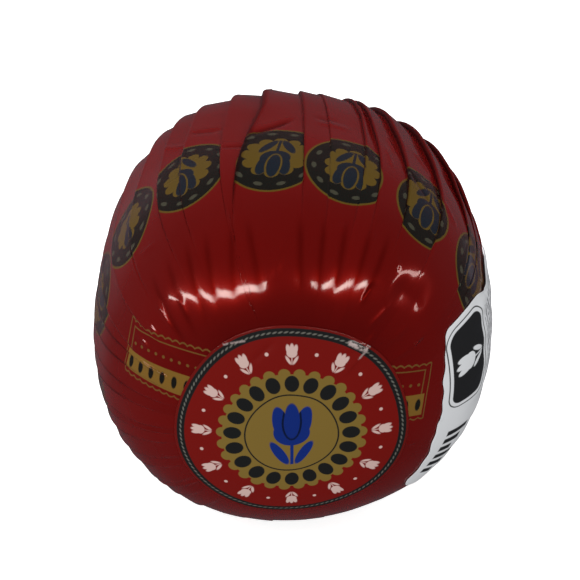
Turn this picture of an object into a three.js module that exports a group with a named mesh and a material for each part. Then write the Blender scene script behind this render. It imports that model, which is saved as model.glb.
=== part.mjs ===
// Edam cheese ball: a whole cheese wrapped in one round sheet of glossy red film.
// The sheet is smooth over the front, where a round label sits, and is pleated towards the back,
// where it is gathered into a small flat knot. A white paper label is stuck on the right side.
// Millimetres, +Z up. The ball lies on its side, on a small flat spot, and its front faces -Y.
import * as THREE from "three";

// The ball's outline: two half superellipses that meet at the widest section
const BALL_RADIUS = 71;
const FRONT_DEPTH = 70.3;
const FRONT_EXPONENT = 2.62;
const BACK_DEPTH = 66.1;
const BACK_EXPONENT = 3.2;

// How the ball lies: the flat spot is this far below the axis, and the axis this far from the part's origin
const AXIS_HEIGHT = 69.2;
const AXIS_SHIFT_X = -0.38;
const AXIS_SHIFT_Y = 1.65;

// Slow unevenness round the ball: waves in each turn, height in mm, and the angle of one crest
const LUMPS = [
  { waves: 2, height: 0.97, crest: 58.5 },
  { waves: 3, height: 0.68, crest: -12 },
  { waves: 4, height: 0.9, crest: 42 },
  { waves: 5, height: 0.42, crest: -29 },
];

// The film's rings tip up towards the back, in degrees, so its gathered end is above the axis
const RING_TIP = 9;
const TIP_STARTS = 60;
const TIP_ENDS = 150;

// The folds that the film lies in: at each, the panel before it ends in an edge over the panel after it.
// Angles are in degrees round the axis, from +X towards +Z, at the back shoulder; drift is how far the fold
// has turned by the time it reaches the front shoulder; step is the height of its edge, in mm; from is the
// distance from the front pole, along the film, where it begins.
const MAIN_FOLDS = [
  { at: 38, drift: -6, step: 2.1, from: 94 },
  { at: 48, drift: -2, step: 2.6, from: 74 },
  { at: 59.6, drift: -2.2, step: 2.5, from: 72 },
  { at: 67, drift: -1, step: 1.7, from: 82 },
  { at: 70, drift: 0.5, step: 1.6, from: 92 },
  { at: 79, drift: 1, step: 0.7, from: 110 },
  { at: 88, drift: -1, step: 1.7, from: 90 },
  { at: 99, drift: 8, step: 2.6, from: 74 },
  { at: 110, drift: 3, step: 1.9, from: 100 },
  { at: 120.5, drift: 1.5, step: 2.0, from: 78 },
  { at: 129, drift: 3, step: 2.8, from: 66 },
  { at: 138, drift: 3.2, step: 1.8, from: 84 },
  { at: 149.5, drift: 6, step: 2.2, from: 66 },
  { at: 161, drift: 5, step: 1.6, from: 78 },
  { at: 171, drift: 5, step: 1.8, from: 58 },
  { at: 181, drift: 1, step: 1.6, from: 62 },
  { at: 190, drift: -1, step: 1.4, from: 52 },
];
const OTHER_FOLDS = { count: 20, first: 199.5, pitch: 9.55, wander: 1.8, drift: 2.5, step: 1.7, from: 78 };
const OTHER_FOLD_SPREAD = { step: 0.6, from: 14 };
const GOLDEN = 0.6180339887;

// The folds' reach along the film, in mm from the front pole
const FLUTE_HEIGHT = 1.0;
const FLUTE_STARTS = 1;
const FLUTE_RUN_IN = 12;
const DRIFT_LIMIT = 1.3;
const FOLD_RUN_IN = 34;
const BACK_SHOULDER = 145;
const FRONT_SHOULDER = 80;
const FOLD_EDGE_WIDTH = 1.1;
const EVEN_SPACING = 1 / 3;
const EDGE_ABOVE_OUTLINE = 0.45;
const MIDDLE_ABOVE_OUTLINE = 0.1;
const FULL_FOLD_RADIUS = 62;

// The gathered end of the film at the back
const KNOT_RADIUS = 10;
const KNOT_HEIGHT = 1.6;
const KNOT_SLOPE = { outside: 2, inside: 1 };

// Labels: the round one lies in the film's own flat coordinates, centred a little off the front pole
const LABEL_GAP = 0.35;
const LABEL_THICKNESS = 0.45;
const ROUND_LABEL = { radius: 39.1, x: -1.2, y: -6.6, cells: 14 };
const SIDE_LABEL = {
  frontArc: { top: 56.5, bottom: 57.5 },
  backArc: { top: 114, bottom: 114 },
  topAngle: { front: 25, back: 21 },
  bottomAngle: { front: -47, back: -41 },
  bow: 5,
  across: 12,
  up: 18,
  pressesFoldsTo: 0.3,
  pressBorder: 3,
  pressRun: { front: 7, back: 11, bottom: 6, top: 5 },
  clearance: 0.75,
};

// How finely the film is divided
const RINGS = 35;
const POLE_RING = 6;
const OUTLINE_SAMPLES = 1440;
const TURN_WEIGHT = 45;

const radians = THREE.MathUtils.degToRad;
const { clamp, lerp, smoothstep } = THREE.MathUtils;

// A point of the outline, as its distance from the axis and its place along the axis
function outlinePoint(angle) {
  const isFront = angle <= Math.PI / 2;
  const depth = isFront ? FRONT_DEPTH : BACK_DEPTH;
  const exponent = isFront ? FRONT_EXPONENT : BACK_EXPONENT;
  const across = Math.pow(Math.abs(Math.sin(angle)) / BALL_RADIUS, exponent);
  const along = Math.pow(Math.abs(Math.cos(angle)) / depth, exponent);
  const reach = Math.pow(across + along, -1 / exponent);
  return new THREE.Vector2(reach * Math.sin(angle), -reach * Math.cos(angle));
}

// The outline as a table by distance along it, with the outward normal and how far it has turned
function makeOutline() {
  const points = [];
  for (let i = 0; i <= OUTLINE_SAMPLES; i += 1) {
    points.push(outlinePoint((Math.PI * i) / OUTLINE_SAMPLES));
  }
  const table = [];
  let arc = 0;
  let turned = 0;
  points.forEach((point, i) => {
    const before = points[Math.max(i - 1, 0)];
    const after = points[Math.min(i + 1, OUTLINE_SAMPLES)];
    const tangent = after.clone().sub(before).normalize();
    const normal = new THREE.Vector2(tangent.y, -tangent.x);
    if (i > 0) {
      arc += point.distanceTo(points[i - 1]);
      turned += Math.acos(clamp(normal.dot(table[i - 1].normal), -1, 1));
    }
    table.push({ arc, turned, angle: (Math.PI * i) / OUTLINE_SAMPLES, point, normal });
  });
  return table;
}

const OUTLINE = makeOutline();
const FILM_LENGTH = OUTLINE[OUTLINE_SAMPLES].arc;

// The outline at a distance from the front pole, or where another rising field reaches a value
function outlineAt(value, field = (row) => row.arc) {
  const after = clamp(OUTLINE.findIndex((row) => field(row) >= value), 1, OUTLINE_SAMPLES);
  const low = OUTLINE[after - 1];
  const high = OUTLINE[after];
  const share = clamp((value - field(low)) / (field(high) - field(low)), 0, 1);
  return {
    arc: lerp(low.arc, high.arc, share),
    angle: lerp(low.angle, high.angle, share),
    point: low.point.clone().lerp(high.point, share),
    normal: low.normal.clone().lerp(high.normal, share).normalize(),
  };
}

function lumpAt(degrees) {
  return LUMPS.reduce(
    (sum, lump) => sum + lump.height * Math.cos(lump.waves * radians(degrees - lump.crest)),
    0,
  );
}

// A place of the film, as the polar angle of the ball under it and the angle round the axis
function placeOnBall(arc, degrees) {
  const { angle } = outlineAt(arc);
  const direction = new THREE.Vector3(
    Math.sin(angle) * Math.cos(radians(degrees)),
    -Math.cos(angle),
    Math.sin(angle) * Math.sin(radians(degrees)),
  );
  const tip = RING_TIP * smoothstep(arc, TIP_STARTS, TIP_ENDS);
  direction.applyAxisAngle(new THREE.Vector3(1, 0, 0), radians(tip));
  return {
    polar: Math.acos(clamp(-direction.y, -1, 1)),
    degrees: THREE.MathUtils.radToDeg(Math.atan2(direction.z, direction.x)),
  };
}

// A point over a place of the film, this far above the outline; the flat spot stops what would go below it
function surfacePoint(arc, filmDegrees, height) {
  const { polar, degrees } = placeOnBall(arc, filmDegrees);
  const { point, normal } = outlineAt(polar, (row) => row.angle);
  const radius = point.x * (1 + lumpAt(degrees) / BALL_RADIUS) + normal.x * height;
  const angle = radians(degrees);
  return new THREE.Vector3(
    radius * Math.cos(angle),
    point.y + normal.y * height,
    Math.max(radius * Math.sin(angle), -AXIS_HEIGHT),
  );
}

// An even but irregular sequence between -1 and 1
function scatter(index, salt) {
  return 2 * (((index + 1) * GOLDEN + salt) % 1) - 1;
}

// Every fold round the ball, in rising order of angle
function makeFolds() {
  const folds = MAIN_FOLDS.map((fold) => ({ ...fold }));
  for (let i = 0; i < OTHER_FOLDS.count; i += 1) {
    folds.push({
      at: OTHER_FOLDS.first + OTHER_FOLDS.pitch * i + OTHER_FOLDS.wander * scatter(i, 0),
      drift: OTHER_FOLDS.drift * scatter(i, 0.37),
      step: OTHER_FOLDS.step + OTHER_FOLD_SPREAD.step * scatter(i, 0.71),
      from: OTHER_FOLDS.from + OTHER_FOLD_SPREAD.from * scatter(i, 0.19),
    });
  }
  return folds;
}

const FOLDS = makeFolds();

function foldAngle(fold, arc) {
  const forward = clamp((BACK_SHOULDER - arc) / (BACK_SHOULDER - FRONT_SHOULDER), 0, DRIFT_LIMIT);
  return fold.at + fold.drift * forward;
}

// How far the film is under the side label, from 0 outside it to 1 well inside
function underSideLabel(arc, degrees) {
  const turn = ((degrees + 180) % 360) - 180;
  const { pressBorder, pressRun } = SIDE_LABEL;
  const front = SIDE_LABEL.frontArc.bottom - pressBorder;
  const back = SIDE_LABEL.backArc.top + pressBorder;
  const bottom = SIDE_LABEL.bottomAngle.front - pressBorder;
  const top = SIDE_LABEL.topAngle.front + pressBorder;
  const along = smoothstep(arc, front - pressRun.front, front)
    * (1 - smoothstep(arc, back, back + pressRun.back));
  const round = smoothstep(turn, bottom - pressRun.bottom, bottom)
    * (1 - smoothstep(turn, top, top + pressRun.top));
  return along * round;
}

// How far a place of the film is outside the round label's edge
function beyondRoundLabel(arc, degrees) {
  const x = arc * Math.cos(radians(degrees)) - ROUND_LABEL.x;
  const y = arc * Math.sin(radians(degrees)) - ROUND_LABEL.y;
  return Math.hypot(x, y) - ROUND_LABEL.radius;
}

// The height of a fold's edge and of the soft flute beside it, and how far the one has become the other
function foldShape(fold, arc, degrees) {
  const { point } = outlineAt(arc);
  const backFade = Math.min(1, point.x / FULL_FOLD_RADIUS);
  const isBack = arc > BACK_SHOULDER;
  const pressed = lerp(1, SIDE_LABEL.pressesFoldsTo, underSideLabel(arc, degrees));
  const lean = smoothstep(arc, fold.from - FOLD_RUN_IN / 2, fold.from + FOLD_RUN_IN);
  const fade = isBack ? backFade : 1;
  const beyond = beyondRoundLabel(arc, degrees);
  return {
    lean,
    step: fold.step * lean * fade * pressed,
    flute: FLUTE_HEIGHT * smoothstep(beyond, FLUTE_STARTS, FLUTE_RUN_IN) * (1 - lean) * pressed,
    edgeWidth: isBack ? lerp(EVEN_SPACING, 0, backFade) : 0,
  };
}

// The columns round one ring of the film: each fold gives its edge, its foot and the middle of its panel
function ringColumns(arc) {
  const { point } = outlineAt(arc);
  const edgeDegrees = (FOLD_EDGE_WIDTH / point.x) * THREE.MathUtils.RAD2DEG;
  const knotEdge = FILM_LENGTH - KNOT_RADIUS;
  const knot = KNOT_HEIGHT * smoothstep(arc, knotEdge - KNOT_SLOPE.outside, knotEdge + KNOT_SLOPE.inside);
  const columns = [];
  FOLDS.forEach((fold, i) => {
    const next = FOLDS[(i + 1) % FOLDS.length];
    const before = FOLDS[(i + FOLDS.length - 1) % FOLDS.length];
    const angle = foldAngle(fold, arc);
    const pitch = (foldAngle(next, arc) - angle + 360) % 360;
    const pitchBefore = (angle - foldAngle(before, arc) + 360) % 360;
    const { lean, step, flute, edgeWidth } = foldShape(fold, arc, angle);
    const narrow = Math.min(edgeDegrees / pitch, EVEN_SPACING);
    const share = Math.max(lerp(EVEN_SPACING, narrow, lean), edgeWidth);
    const edge = EDGE_ABOVE_OUTLINE * step;
    const foot = -(1 - EDGE_ABOVE_OUTLINE) * step;
    columns.push(
      { degrees: angle - (share * Math.min(pitchBefore, pitch)) / 2, height: knot + edge },
      { degrees: angle + (share * pitch) / 2, height: knot + foot },
      { degrees: angle + pitch / 2, height: knot + flute + MIDDLE_ABOVE_OUTLINE * step },
    );
  });
  return columns;
}

// Distances of the rings from the front pole, closer together where the outline turns more
function ringArcs() {
  const travel = (row) => row.arc + TURN_WEIGHT * row.turned;
  const travelAt = (arc) => travel(OUTLINE.find((row) => row.arc >= arc));
  const first = travelAt(POLE_RING);
  const last = travelAt(FILM_LENGTH - POLE_RING);
  const arcs = [];
  for (let i = 0; i < RINGS; i += 1) {
    arcs.push(outlineAt(lerp(first, last, i / (RINGS - 1)), travel).arc);
  }
  return arcs;
}

function makeGeometry(points, index) {
  const geometry = new THREE.BufferGeometry();
  geometry.setFromPoints(points);
  geometry.setIndex(index);
  geometry.computeVertexNormals();
  return geometry;
}

// The cheese and its film as one solid, ring by ring from the front pole to the back
function wrappedBallGeometry() {
  const rings = ringArcs().map((arc) =>
    ringColumns(arc).map(({ degrees, height }) => surfacePoint(arc, degrees, height)),
  );
  const columns = rings[0].length;
  const points = [surfacePoint(0, 0, 0), ...rings.flat(), surfacePoint(FILM_LENGTH, 0, KNOT_HEIGHT)];
  const vertex = (ring, column) => 1 + ring * columns + (column % columns);
  const backPole = points.length - 1;
  const index = [];
  for (let column = 0; column < columns; column += 1) {
    index.push(0, vertex(0, column), vertex(0, column + 1));
    for (let ring = 0; ring + 1 < rings.length; ring += 1) {
      const here = vertex(ring, column);
      const beside = vertex(ring, column + 1);
      const behind = vertex(ring + 1, column);
      const across = vertex(ring + 1, column + 1);
      index.push(here, behind, across, here, across, beside);
    }
    index.push(vertex(rings.length - 1, column), backPole, vertex(rings.length - 1, column + 1));
  }
  return makeGeometry(points, index);
}

// A label as a thin curved plate: place gives the arc and angle of a point of its square grid
function labelGeometry(place, across, up, underside) {
  const stride = across + 1;
  const layer = stride * (up + 1);
  const points = [];
  for (const height of [underside, underside + LABEL_THICKNESS]) {
    for (let row = 0; row <= up; row += 1) {
      for (let column = 0; column <= across; column += 1) {
        const { arc, degrees } = place((2 * column) / across - 1, (2 * row) / up - 1);
        points.push(surfacePoint(arc, degrees, height));
      }
    }
  }
  const index = [];
  for (let row = 0; row < up; row += 1) {
    for (let column = 0; column < across; column += 1) {
      const a = row * stride + column;
      const b = a + 1;
      const c = b + stride;
      const d = a + stride;
      index.push(a, c, b, a, d, c);
      index.push(layer + a, layer + b, layer + c, layer + a, layer + c, layer + d);
    }
  }
  const rim = [];
  for (let column = 0; column < across; column += 1) rim.push(column);
  for (let row = 0; row < up; row += 1) rim.push(row * stride + across);
  for (let column = across; column > 0; column -= 1) rim.push(up * stride + column);
  for (let row = up; row > 0; row -= 1) rim.push(row * stride);
  rim.forEach((here, i) => {
    const next = rim[(i + 1) % rim.length];
    index.push(here, next, layer + next, here, layer + next, layer + here);
  });
  return makeGeometry(points, index);
}

// A square grid drawn out to a disc that lies off the front pole
function placeOnRoundLabel(u, v) {
  const x = ROUND_LABEL.x + ROUND_LABEL.radius * u * Math.sqrt(1 - (v * v) / 2);
  const y = ROUND_LABEL.y + ROUND_LABEL.radius * v * Math.sqrt(1 - (u * u) / 2);
  return { arc: Math.hypot(x, y), degrees: THREE.MathUtils.radToDeg(Math.atan2(y, x)) };
}

// A four-sided label: u runs from its front edge to its back edge, and v from its bottom to its top
function placeOnSideLabel(u, v) {
  const { frontArc, backArc, topAngle, bottomAngle, bow } = SIDE_LABEL;
  const back = (u + 1) / 2;
  const top = (v + 1) / 2;
  const front = lerp(frontArc.bottom, frontArc.top, top) - bow * (1 - v * v);
  return {
    arc: lerp(front, lerp(backArc.bottom, backArc.top, top), back),
    degrees: lerp(
      lerp(bottomAngle.front, bottomAngle.back, back),
      lerp(topAngle.front, topAngle.back, back),
      top,
    ),
  };
}

function namedMesh(name, geometry, finish) {
  const mesh = new THREE.Mesh(geometry, new THREE.MeshStandardMaterial(finish));
  mesh.name = name;
  return mesh;
}

const wrappedBall = namedMesh("wrapped_ball", wrappedBallGeometry(), {
  color: 0x7c0a14,
  roughness: 0.16,
  metalness: 0,
});

const frontLabel = namedMesh(
  "front_label",
  labelGeometry(placeOnRoundLabel, ROUND_LABEL.cells, ROUND_LABEL.cells, LABEL_GAP),
  { color: 0x8e1a1c, roughness: 0.3, metalness: 0 },
);

const sideLabel = namedMesh(
  "side_label",
  labelGeometry(placeOnSideLabel, SIDE_LABEL.across, SIDE_LABEL.up, SIDE_LABEL.clearance),
  { color: 0xe4e7ea, roughness: 0.45, metalness: 0 },
);

const ball = new THREE.Group();
ball.position.set(AXIS_SHIFT_X, AXIS_SHIFT_Y, AXIS_HEIGHT);
ball.add(wrappedBall, frontLabel, sideLabel);

const part = new THREE.Group();
part.add(ball);

export default part;
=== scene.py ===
"""Edam cheese ball: the looks of a whole round cheese wrapped in pleated glossy red film.

The film replaces the ball's plain solid, and the round and white labels replace theirs.
Lengths are in millimetres and angles in degrees until a mesh or a light is placed in metres.
"""

import functools
import logging
import math
from collections.abc import Sequence
from dataclasses import dataclass, field
from enum import Enum

import bmesh
import bpy
import numpy as np
from mathutils import Matrix, Vector


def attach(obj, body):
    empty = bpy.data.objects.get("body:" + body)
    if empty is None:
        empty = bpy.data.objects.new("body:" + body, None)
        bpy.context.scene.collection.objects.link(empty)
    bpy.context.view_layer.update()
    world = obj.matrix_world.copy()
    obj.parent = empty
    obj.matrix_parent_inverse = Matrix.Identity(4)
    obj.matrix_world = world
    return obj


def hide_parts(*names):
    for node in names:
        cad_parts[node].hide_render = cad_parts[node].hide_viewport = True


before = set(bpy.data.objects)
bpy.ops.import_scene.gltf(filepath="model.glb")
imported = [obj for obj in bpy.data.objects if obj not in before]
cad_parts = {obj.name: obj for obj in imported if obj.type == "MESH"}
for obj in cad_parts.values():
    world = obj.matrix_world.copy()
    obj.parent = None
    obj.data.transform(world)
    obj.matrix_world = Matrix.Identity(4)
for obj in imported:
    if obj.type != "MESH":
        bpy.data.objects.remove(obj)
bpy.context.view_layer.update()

LOG = logging.getLogger("edam")

MM = 0.001
WELD = 1e-6
GOLDEN = 0.6180339887
WHITE = "FFFFFF"
NOISE_DETAIL = 2.0
# Millimetres across the flat film, and along it from the front pole, that the UV maps take as 1
SHEET_SPAN = 500.0
ALONG_SPAN = 240.0
ROUND_LABEL_CENTRE = (-1.2, -6.6)
# The least radius and reach, so that nothing is divided by 0 at a pole
LEAST_RADIUS = 0.01
LEAST_REACH = 0.001


def linear(hex_colour: str) -> tuple[float, float, float, float]:
    """Turns an sRGB hex colour to linear values.

    Args:
        hex_colour: Six hex digits, such as "8F1210".

    Returns:
        Red, green, blue and a full alpha, for a node's socket.
    """
    parts = [int(hex_colour[i:i + 2], 16) / 255 for i in (0, 2, 4)]
    turned = [c / 12.92 if c <= 0.04045 else ((c + 0.055) / 1.055) ** 2.4 for c in parts]
    return (*turned, 1.0)


def smoothstep(value: np.ndarray, low: float | np.ndarray, high: float | np.ndarray) -> np.ndarray:
    """Rises smoothly from 0 at low to 1 at high."""
    share = np.clip((value - low) / (high - low), 0, 1)
    return share * share * (3 - 2 * share)


def lerp(first: np.ndarray, second: np.ndarray, share: np.ndarray) -> np.ndarray:
    """Mixes two values by a share from 0 to 1."""
    return first + (second - first) * share


def scatter(index: np.ndarray, salt: float) -> np.ndarray:
    """An even but irregular sequence between -1 and 1, another one for each salt."""
    return 2 * (((index + 1) * GOLDEN + salt) % 1) - 1


def following(values: np.ndarray) -> np.ndarray:
    """The next of some rising angles round the ball, for each of them."""
    return np.append(values[1:], values[0] + 360)


def on_sheet(arc: np.ndarray, degrees: np.ndarray) -> tuple[np.ndarray, np.ndarray]:
    """Turns distances from the front pole and angles to coordinates across and up."""
    turn = np.radians(degrees)
    return arc * np.cos(turn), arc * np.sin(turn)


def placed(name: str, data: bpy.types.ID) -> bpy.types.Object:
    """Makes an object and puts it in the scene.

    Args:
        name: The object's name.
        data: Its mesh, light or camera.

    Returns:
        The object.
    """
    thing = bpy.data.objects.new(name, data)
    bpy.context.scene.collection.objects.link(thing)
    return thing


def empty_material(name: str) -> bpy.types.Material:
    """Makes a material without nodes.

    Args:
        name: The material's name.

    Returns:
        The material, whose node tree is ready to fill.
    """
    material = bpy.data.materials.new(name)
    material.use_nodes = True
    material.node_tree.nodes.clear()
    return material


def add_node(
    tree: bpy.types.NodeTree,
    kind: str,
    inputs: dict[int | str, object] | None = None,
    **settings: object,
) -> bpy.types.Node:
    """Adds a node, sets its properties and fills its inputs.

    Args:
        tree: The node tree that the node joins.
        kind: The node's type.
        inputs: Values, nodes or sockets, by an input's name or its number among those in use.
        **settings: The node's own properties.

    Returns:
        The new node.
    """
    node = tree.nodes.new(kind)
    for name, value in settings.items():
        setattr(node, name, value)
    in_use = [socket for socket in node.inputs if socket.enabled]
    for key, value in (inputs or {}).items():
        socket = in_use[key] if isinstance(key, int) else next(s for s in in_use if s.name == key)
        if isinstance(value, bpy.types.Node):
            value = next(s for s in value.outputs if s.enabled)
        if isinstance(value, bpy.types.NodeSocket):
            tree.links.new(value, socket)
        else:
            socket.default_value = value
    return node


@dataclass(frozen=True)
class Lump:
    """One slow wave round the ball."""

    waves: int
    height: float
    crest: float


@dataclass
class BallForm:
    """The ball under its film: two half superellipses turned about an axis that points to the front, -Y.

    A place on it is the distance along the film from the front pole, and the angle round the axis from +X
    towards +Z. Towards the back the film's rings tip up, so its gathered end is above the axis.
    """

    radius: float = 71.0
    front_depth: float = 70.3
    front_exponent: float = 2.62
    back_depth: float = 66.1
    back_exponent: float = 3.2
    axis_height: float = 69.2
    axis_shift: tuple[float, float] = (-0.38, 1.65)
    tip: float = 9.0
    tip_starts: float = 60.0
    tip_ends: float = 150.0
    samples: int = 1440
    lumps: tuple[Lump, ...] = (
        Lump(2, 0.97, 58.5),
        Lump(3, 0.68, -12.0),
        Lump(4, 0.9, 42.0),
        Lump(5, 0.42, -29.0),
    )
    angles: np.ndarray = field(init=False)
    arcs: np.ndarray = field(init=False)
    outline: np.ndarray = field(init=False)
    normals: np.ndarray = field(init=False)

    def __post_init__(self) -> None:
        """Works out the outline as a table by polar angle."""
        self.angles = np.linspace(0, math.pi, self.samples + 1)
        is_front = self.angles <= math.pi / 2
        depth = np.where(is_front, self.front_depth, self.back_depth)
        exponent = np.where(is_front, self.front_exponent, self.back_exponent)
        across = np.abs(np.sin(self.angles) / self.radius) ** exponent
        along = np.abs(np.cos(self.angles) / depth) ** exponent
        reach = (across + along) ** (-1 / exponent)
        self.outline = np.stack([reach * np.sin(self.angles), -reach * np.cos(self.angles)], axis=1)
        steps = np.linalg.norm(np.diff(self.outline, axis=0), axis=1)
        self.arcs = np.concatenate([[0], np.cumsum(steps)])
        tangents = np.gradient(self.outline, axis=0)
        tangents /= np.linalg.norm(tangents, axis=1, keepdims=True)
        self.normals = np.stack([tangents[:, 1], -tangents[:, 0]], axis=1)

    @property
    def length(self) -> float:
        """The distance from pole to pole along the film."""
        return float(self.arcs[-1])

    @property
    def centre(self) -> Vector:
        """The middle of the widest section, in the part's frame."""
        return Vector((*self.axis_shift, self.axis_height))

    def radius_at(self, arc: np.ndarray) -> np.ndarray:
        """The outline's distance from the axis."""
        return np.interp(arc, self.arcs, self.outline[:, 0])

    def place(self, arc: np.ndarray, degrees: np.ndarray) -> tuple[np.ndarray, np.ndarray]:
        """Finds where a place of the film lies on the ball, with its rings tipped.

        Args:
            arc: Distances along the film from the front pole.
            degrees: Angles round the film.

        Returns:
            The polar angle in radians, and the angle round the axis in radians.
        """
        polar = np.interp(arc, self.arcs, self.angles)
        turn = np.radians(degrees)
        x = np.sin(polar) * np.cos(turn)
        y = -np.cos(polar)
        z = np.sin(polar) * np.sin(turn)
        tip = np.radians(self.tip) * smoothstep(arc, self.tip_starts, self.tip_ends)
        tipped_y = y * np.cos(tip) - z * np.sin(tip)
        tipped_z = y * np.sin(tip) + z * np.cos(tip)
        return np.arccos(np.clip(-tipped_y, -1, 1)), np.arctan2(tipped_z, x)

    def true_arc(self, arc: np.ndarray, degrees: np.ndarray) -> np.ndarray:
        """The straight distance over the ball from the front pole to a place of the film."""
        return np.interp(self.place(arc, degrees)[0], self.angles, self.arcs)

    def surface(self, arc: np.ndarray, degrees: np.ndarray, height: np.ndarray) -> np.ndarray:
        """Finds points over places of the film.

        Args:
            arc: Distances along the film from the front pole.
            degrees: Angles round the film.
            height: Heights above the ball's outline.

        Returns:
            Points in the part's frame, with a last axis of three.
        """
        polar, turn = self.place(arc, degrees)
        turns = (lump.waves * (turn - math.radians(lump.crest)) for lump in self.lumps)
        rise = sum(lump.height * np.cos(wave) for lump, wave in zip(self.lumps, turns))
        across = np.interp(polar, self.angles, self.outline[:, 0])
        along = np.interp(polar, self.angles, self.outline[:, 1])
        lean_out = np.interp(polar, self.angles, self.normals[:, 0])
        lean_back = np.interp(polar, self.angles, self.normals[:, 1])
        reach = across * (1 + rise / self.radius) + lean_out * height
        x = self.axis_shift[0] + reach * np.cos(turn)
        y = self.axis_shift[1] + along + lean_back * height
        z = np.maximum(self.axis_height + reach * np.sin(turn), 0)
        return np.stack([x, y, z], axis=-1)


class CreaseKind(Enum):
    """How a crease stands in the film or paper."""

    RIDGE = "a line that stands up"
    GROOVE = "a line that is pressed in"
    STEP = "a line with one side higher, which fades out beside it"


# Shares of a crease's length over which it rises at its start and fades at its end
CREASE_RISE = (-0.15, 0.3)
CREASE_FADE = (0.7, 1.15)
# How steep the side of a crease and of a step is, how far the step runs out beside it, in its widths, and how
# sharp the line of painted shade is
CREASE_POWER = 1.5
STEP_STEEPNESS = 3.0
STEP_RUN_OUT = 3.0
LINE_SHARPNESS = 2.0


@dataclass(frozen=True)
class Crease:
    """A straight crease between two places of the film, each an arc and an angle."""

    start: tuple[float, float]
    end: tuple[float, float]
    height: float
    width: float
    kind: CreaseKind = CreaseKind.RIDGE
    # How dark the painted shade along its line is
    shade: float = 0.0

    def laid(self, x: np.ndarray, y: np.ndarray) -> tuple[np.ndarray, np.ndarray]:
        """Places points of the flat sheet by the crease.

        Args:
            x: Sheet coordinates across.
            y: Sheet coordinates up.

        Returns:
            How fully the crease stands at that point along it, and the distance to its left in its widths.
        """
        first, last = (arc * np.exp(1j * math.radians(degrees)) for arc, degrees in (self.start, self.end))
        offset = ((x + 1j * y) - first) / (last - first)
        share = smoothstep(offset.real, *CREASE_RISE) * (1 - smoothstep(offset.real, *CREASE_FADE))
        return share, offset.imag * abs(last - first) / self.width

    def height_at(self, x: np.ndarray, y: np.ndarray) -> np.ndarray:
        """Works out the crease's height over the flat sheet.

        Args:
            x: Sheet coordinates across.
            y: Sheet coordinates up.

        Returns:
            Heights, below 0 in a groove.
        """
        share, aside = self.laid(x, y)
        if self.kind is CreaseKind.STEP:
            side = (np.tanh(STEP_STEEPNESS * aside) + 1) / 2
            return self.height * share * side * np.exp(-np.maximum(aside, 0) / STEP_RUN_OUT)
        sign = -1 if self.kind is CreaseKind.GROOVE else 1
        return sign * self.height * share * np.exp(-np.abs(aside) ** CREASE_POWER)

    def shade_at(self, x: np.ndarray, y: np.ndarray) -> np.ndarray:
        """The painted shade along the crease's line over the flat sheet, from 0 to 1."""
        share, aside = self.laid(x, y)
        return self.shade * share * np.exp(-LINE_SHARPNESS * aside ** 2)


LABEL_CREASES = (
    Crease((81.0, 22.0), (92.0, 18.0), 0.7, 1.3, CreaseKind.GROOVE),
    Crease((76.0, 20.5), (86.0, 15.0), 0.4, 1.2),
    Crease((88.0, 24.0), (90.0, 12.0), 0.4, 1.4, CreaseKind.GROOVE),
    Crease((30.5, 58.5), (32.5, 43.0), 0.6, 1.3),
    Crease((31.5, 46.0), (36.5, 49.0), 0.5, 1.2),
    Crease((21.0, 43.9), (32.0, 46.0), 0.5, 1.2, CreaseKind.STEP),
    Crease((26, 60), (42, 36), 0.4, 1.5, CreaseKind.STEP),
    Crease((24, 124), (27.5, 104), 0.4, 1.2, CreaseKind.GROOVE),
)
GLINT_CREASES = (
    Crease((53.0, 52.0), (54.0, 38.5), 0.75, 5.0, CreaseKind.GROOVE),
    Crease((36.5, 53.3), (47.0, 50.0), 0.3, 1.0),
    Crease((50.5, 60.5), (43.7, 62.0), 0.3, 1.0, CreaseKind.STEP, 0.3),
    Crease((40.5, 39.5), (45.5, 38.2), 0.25, 0.9),
    Crease((36.5, 30.8), (43.0, 29.4), 0.25, 0.9),
    Crease((61.5, 55.5), (58.0, 54.0), 0.3, 1.0),
    Crease((62.8, 65.4), (66.4, 65.0), 0.22, 0.8),
    Crease((64.0, 75.0), (67.0, 74.8), 0.22, 0.8),
    Crease((49.0, 98.0), (61.0, 92.5), 0.26, 0.9),
    Crease((59.5, 143.0), (49.4, 145.8), 0.3, 0.9),
    Crease((54.8, 134.7), (47.5, 137.4), 0.28, 0.9),
    Crease((60.6, 157.9), (54.0, 159.3), 0.34, 0.9),
    Crease((59.4, 165.5), (51.0, 166.5), 0.34, 0.9),
    Crease((58.5, 151.4), (53.0, 151.9), 0.34, 0.9),
    Crease((79.0, 139.4), (77.2, 132.2), 0.3, 0.9),
    Crease((53.0, 348.4), (50.0, 348.6), 0.25, 0.8),
    Crease((43.5, 337.6), (40.5, 337.4), 0.25, 0.8),
)
TOP_CREASES = (
    Crease((110.8, 108.5), (110.8, 101.5), 0.4, 0.8, CreaseKind.GROOVE, 0.55),
    Crease((116.2, 101.5), (132.0, 89.5), 0.8, 1.5, CreaseKind.GROOVE, 0.85),
    Crease((134.8, 119.0), (130.0, 109.0), 0.5, 1.8, CreaseKind.GROOVE, 0.25),
    Crease((135.0, 128.5), (126.5, 119.5), 0.45, 1.4),
    Crease((128.8, 82.5), (128.7, 73.0), 0.4, 1.8),
    Crease((134.0, 83.5), (133.0, 76.0), 0.3, 1.5, CreaseKind.GROOVE, 0.2),
    Crease((127.1, 54.1), (116.4, 48.6), 0.5, 1.6, CreaseKind.STEP),
    Crease((130.5, 61.9), (118.5, 60.4), 0.45, 1.2),
    Crease((120.0, 63.5), (104.0, 62.2), 0.35, 1.2),
    Crease((107.7, 58.0), (93.3, 50.2), 0.4, 1.2, CreaseKind.GROOVE, 0.45),
    Crease((101.0, 46.0), (93.0, 40.0), 0.35, 1.3),
)


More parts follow.
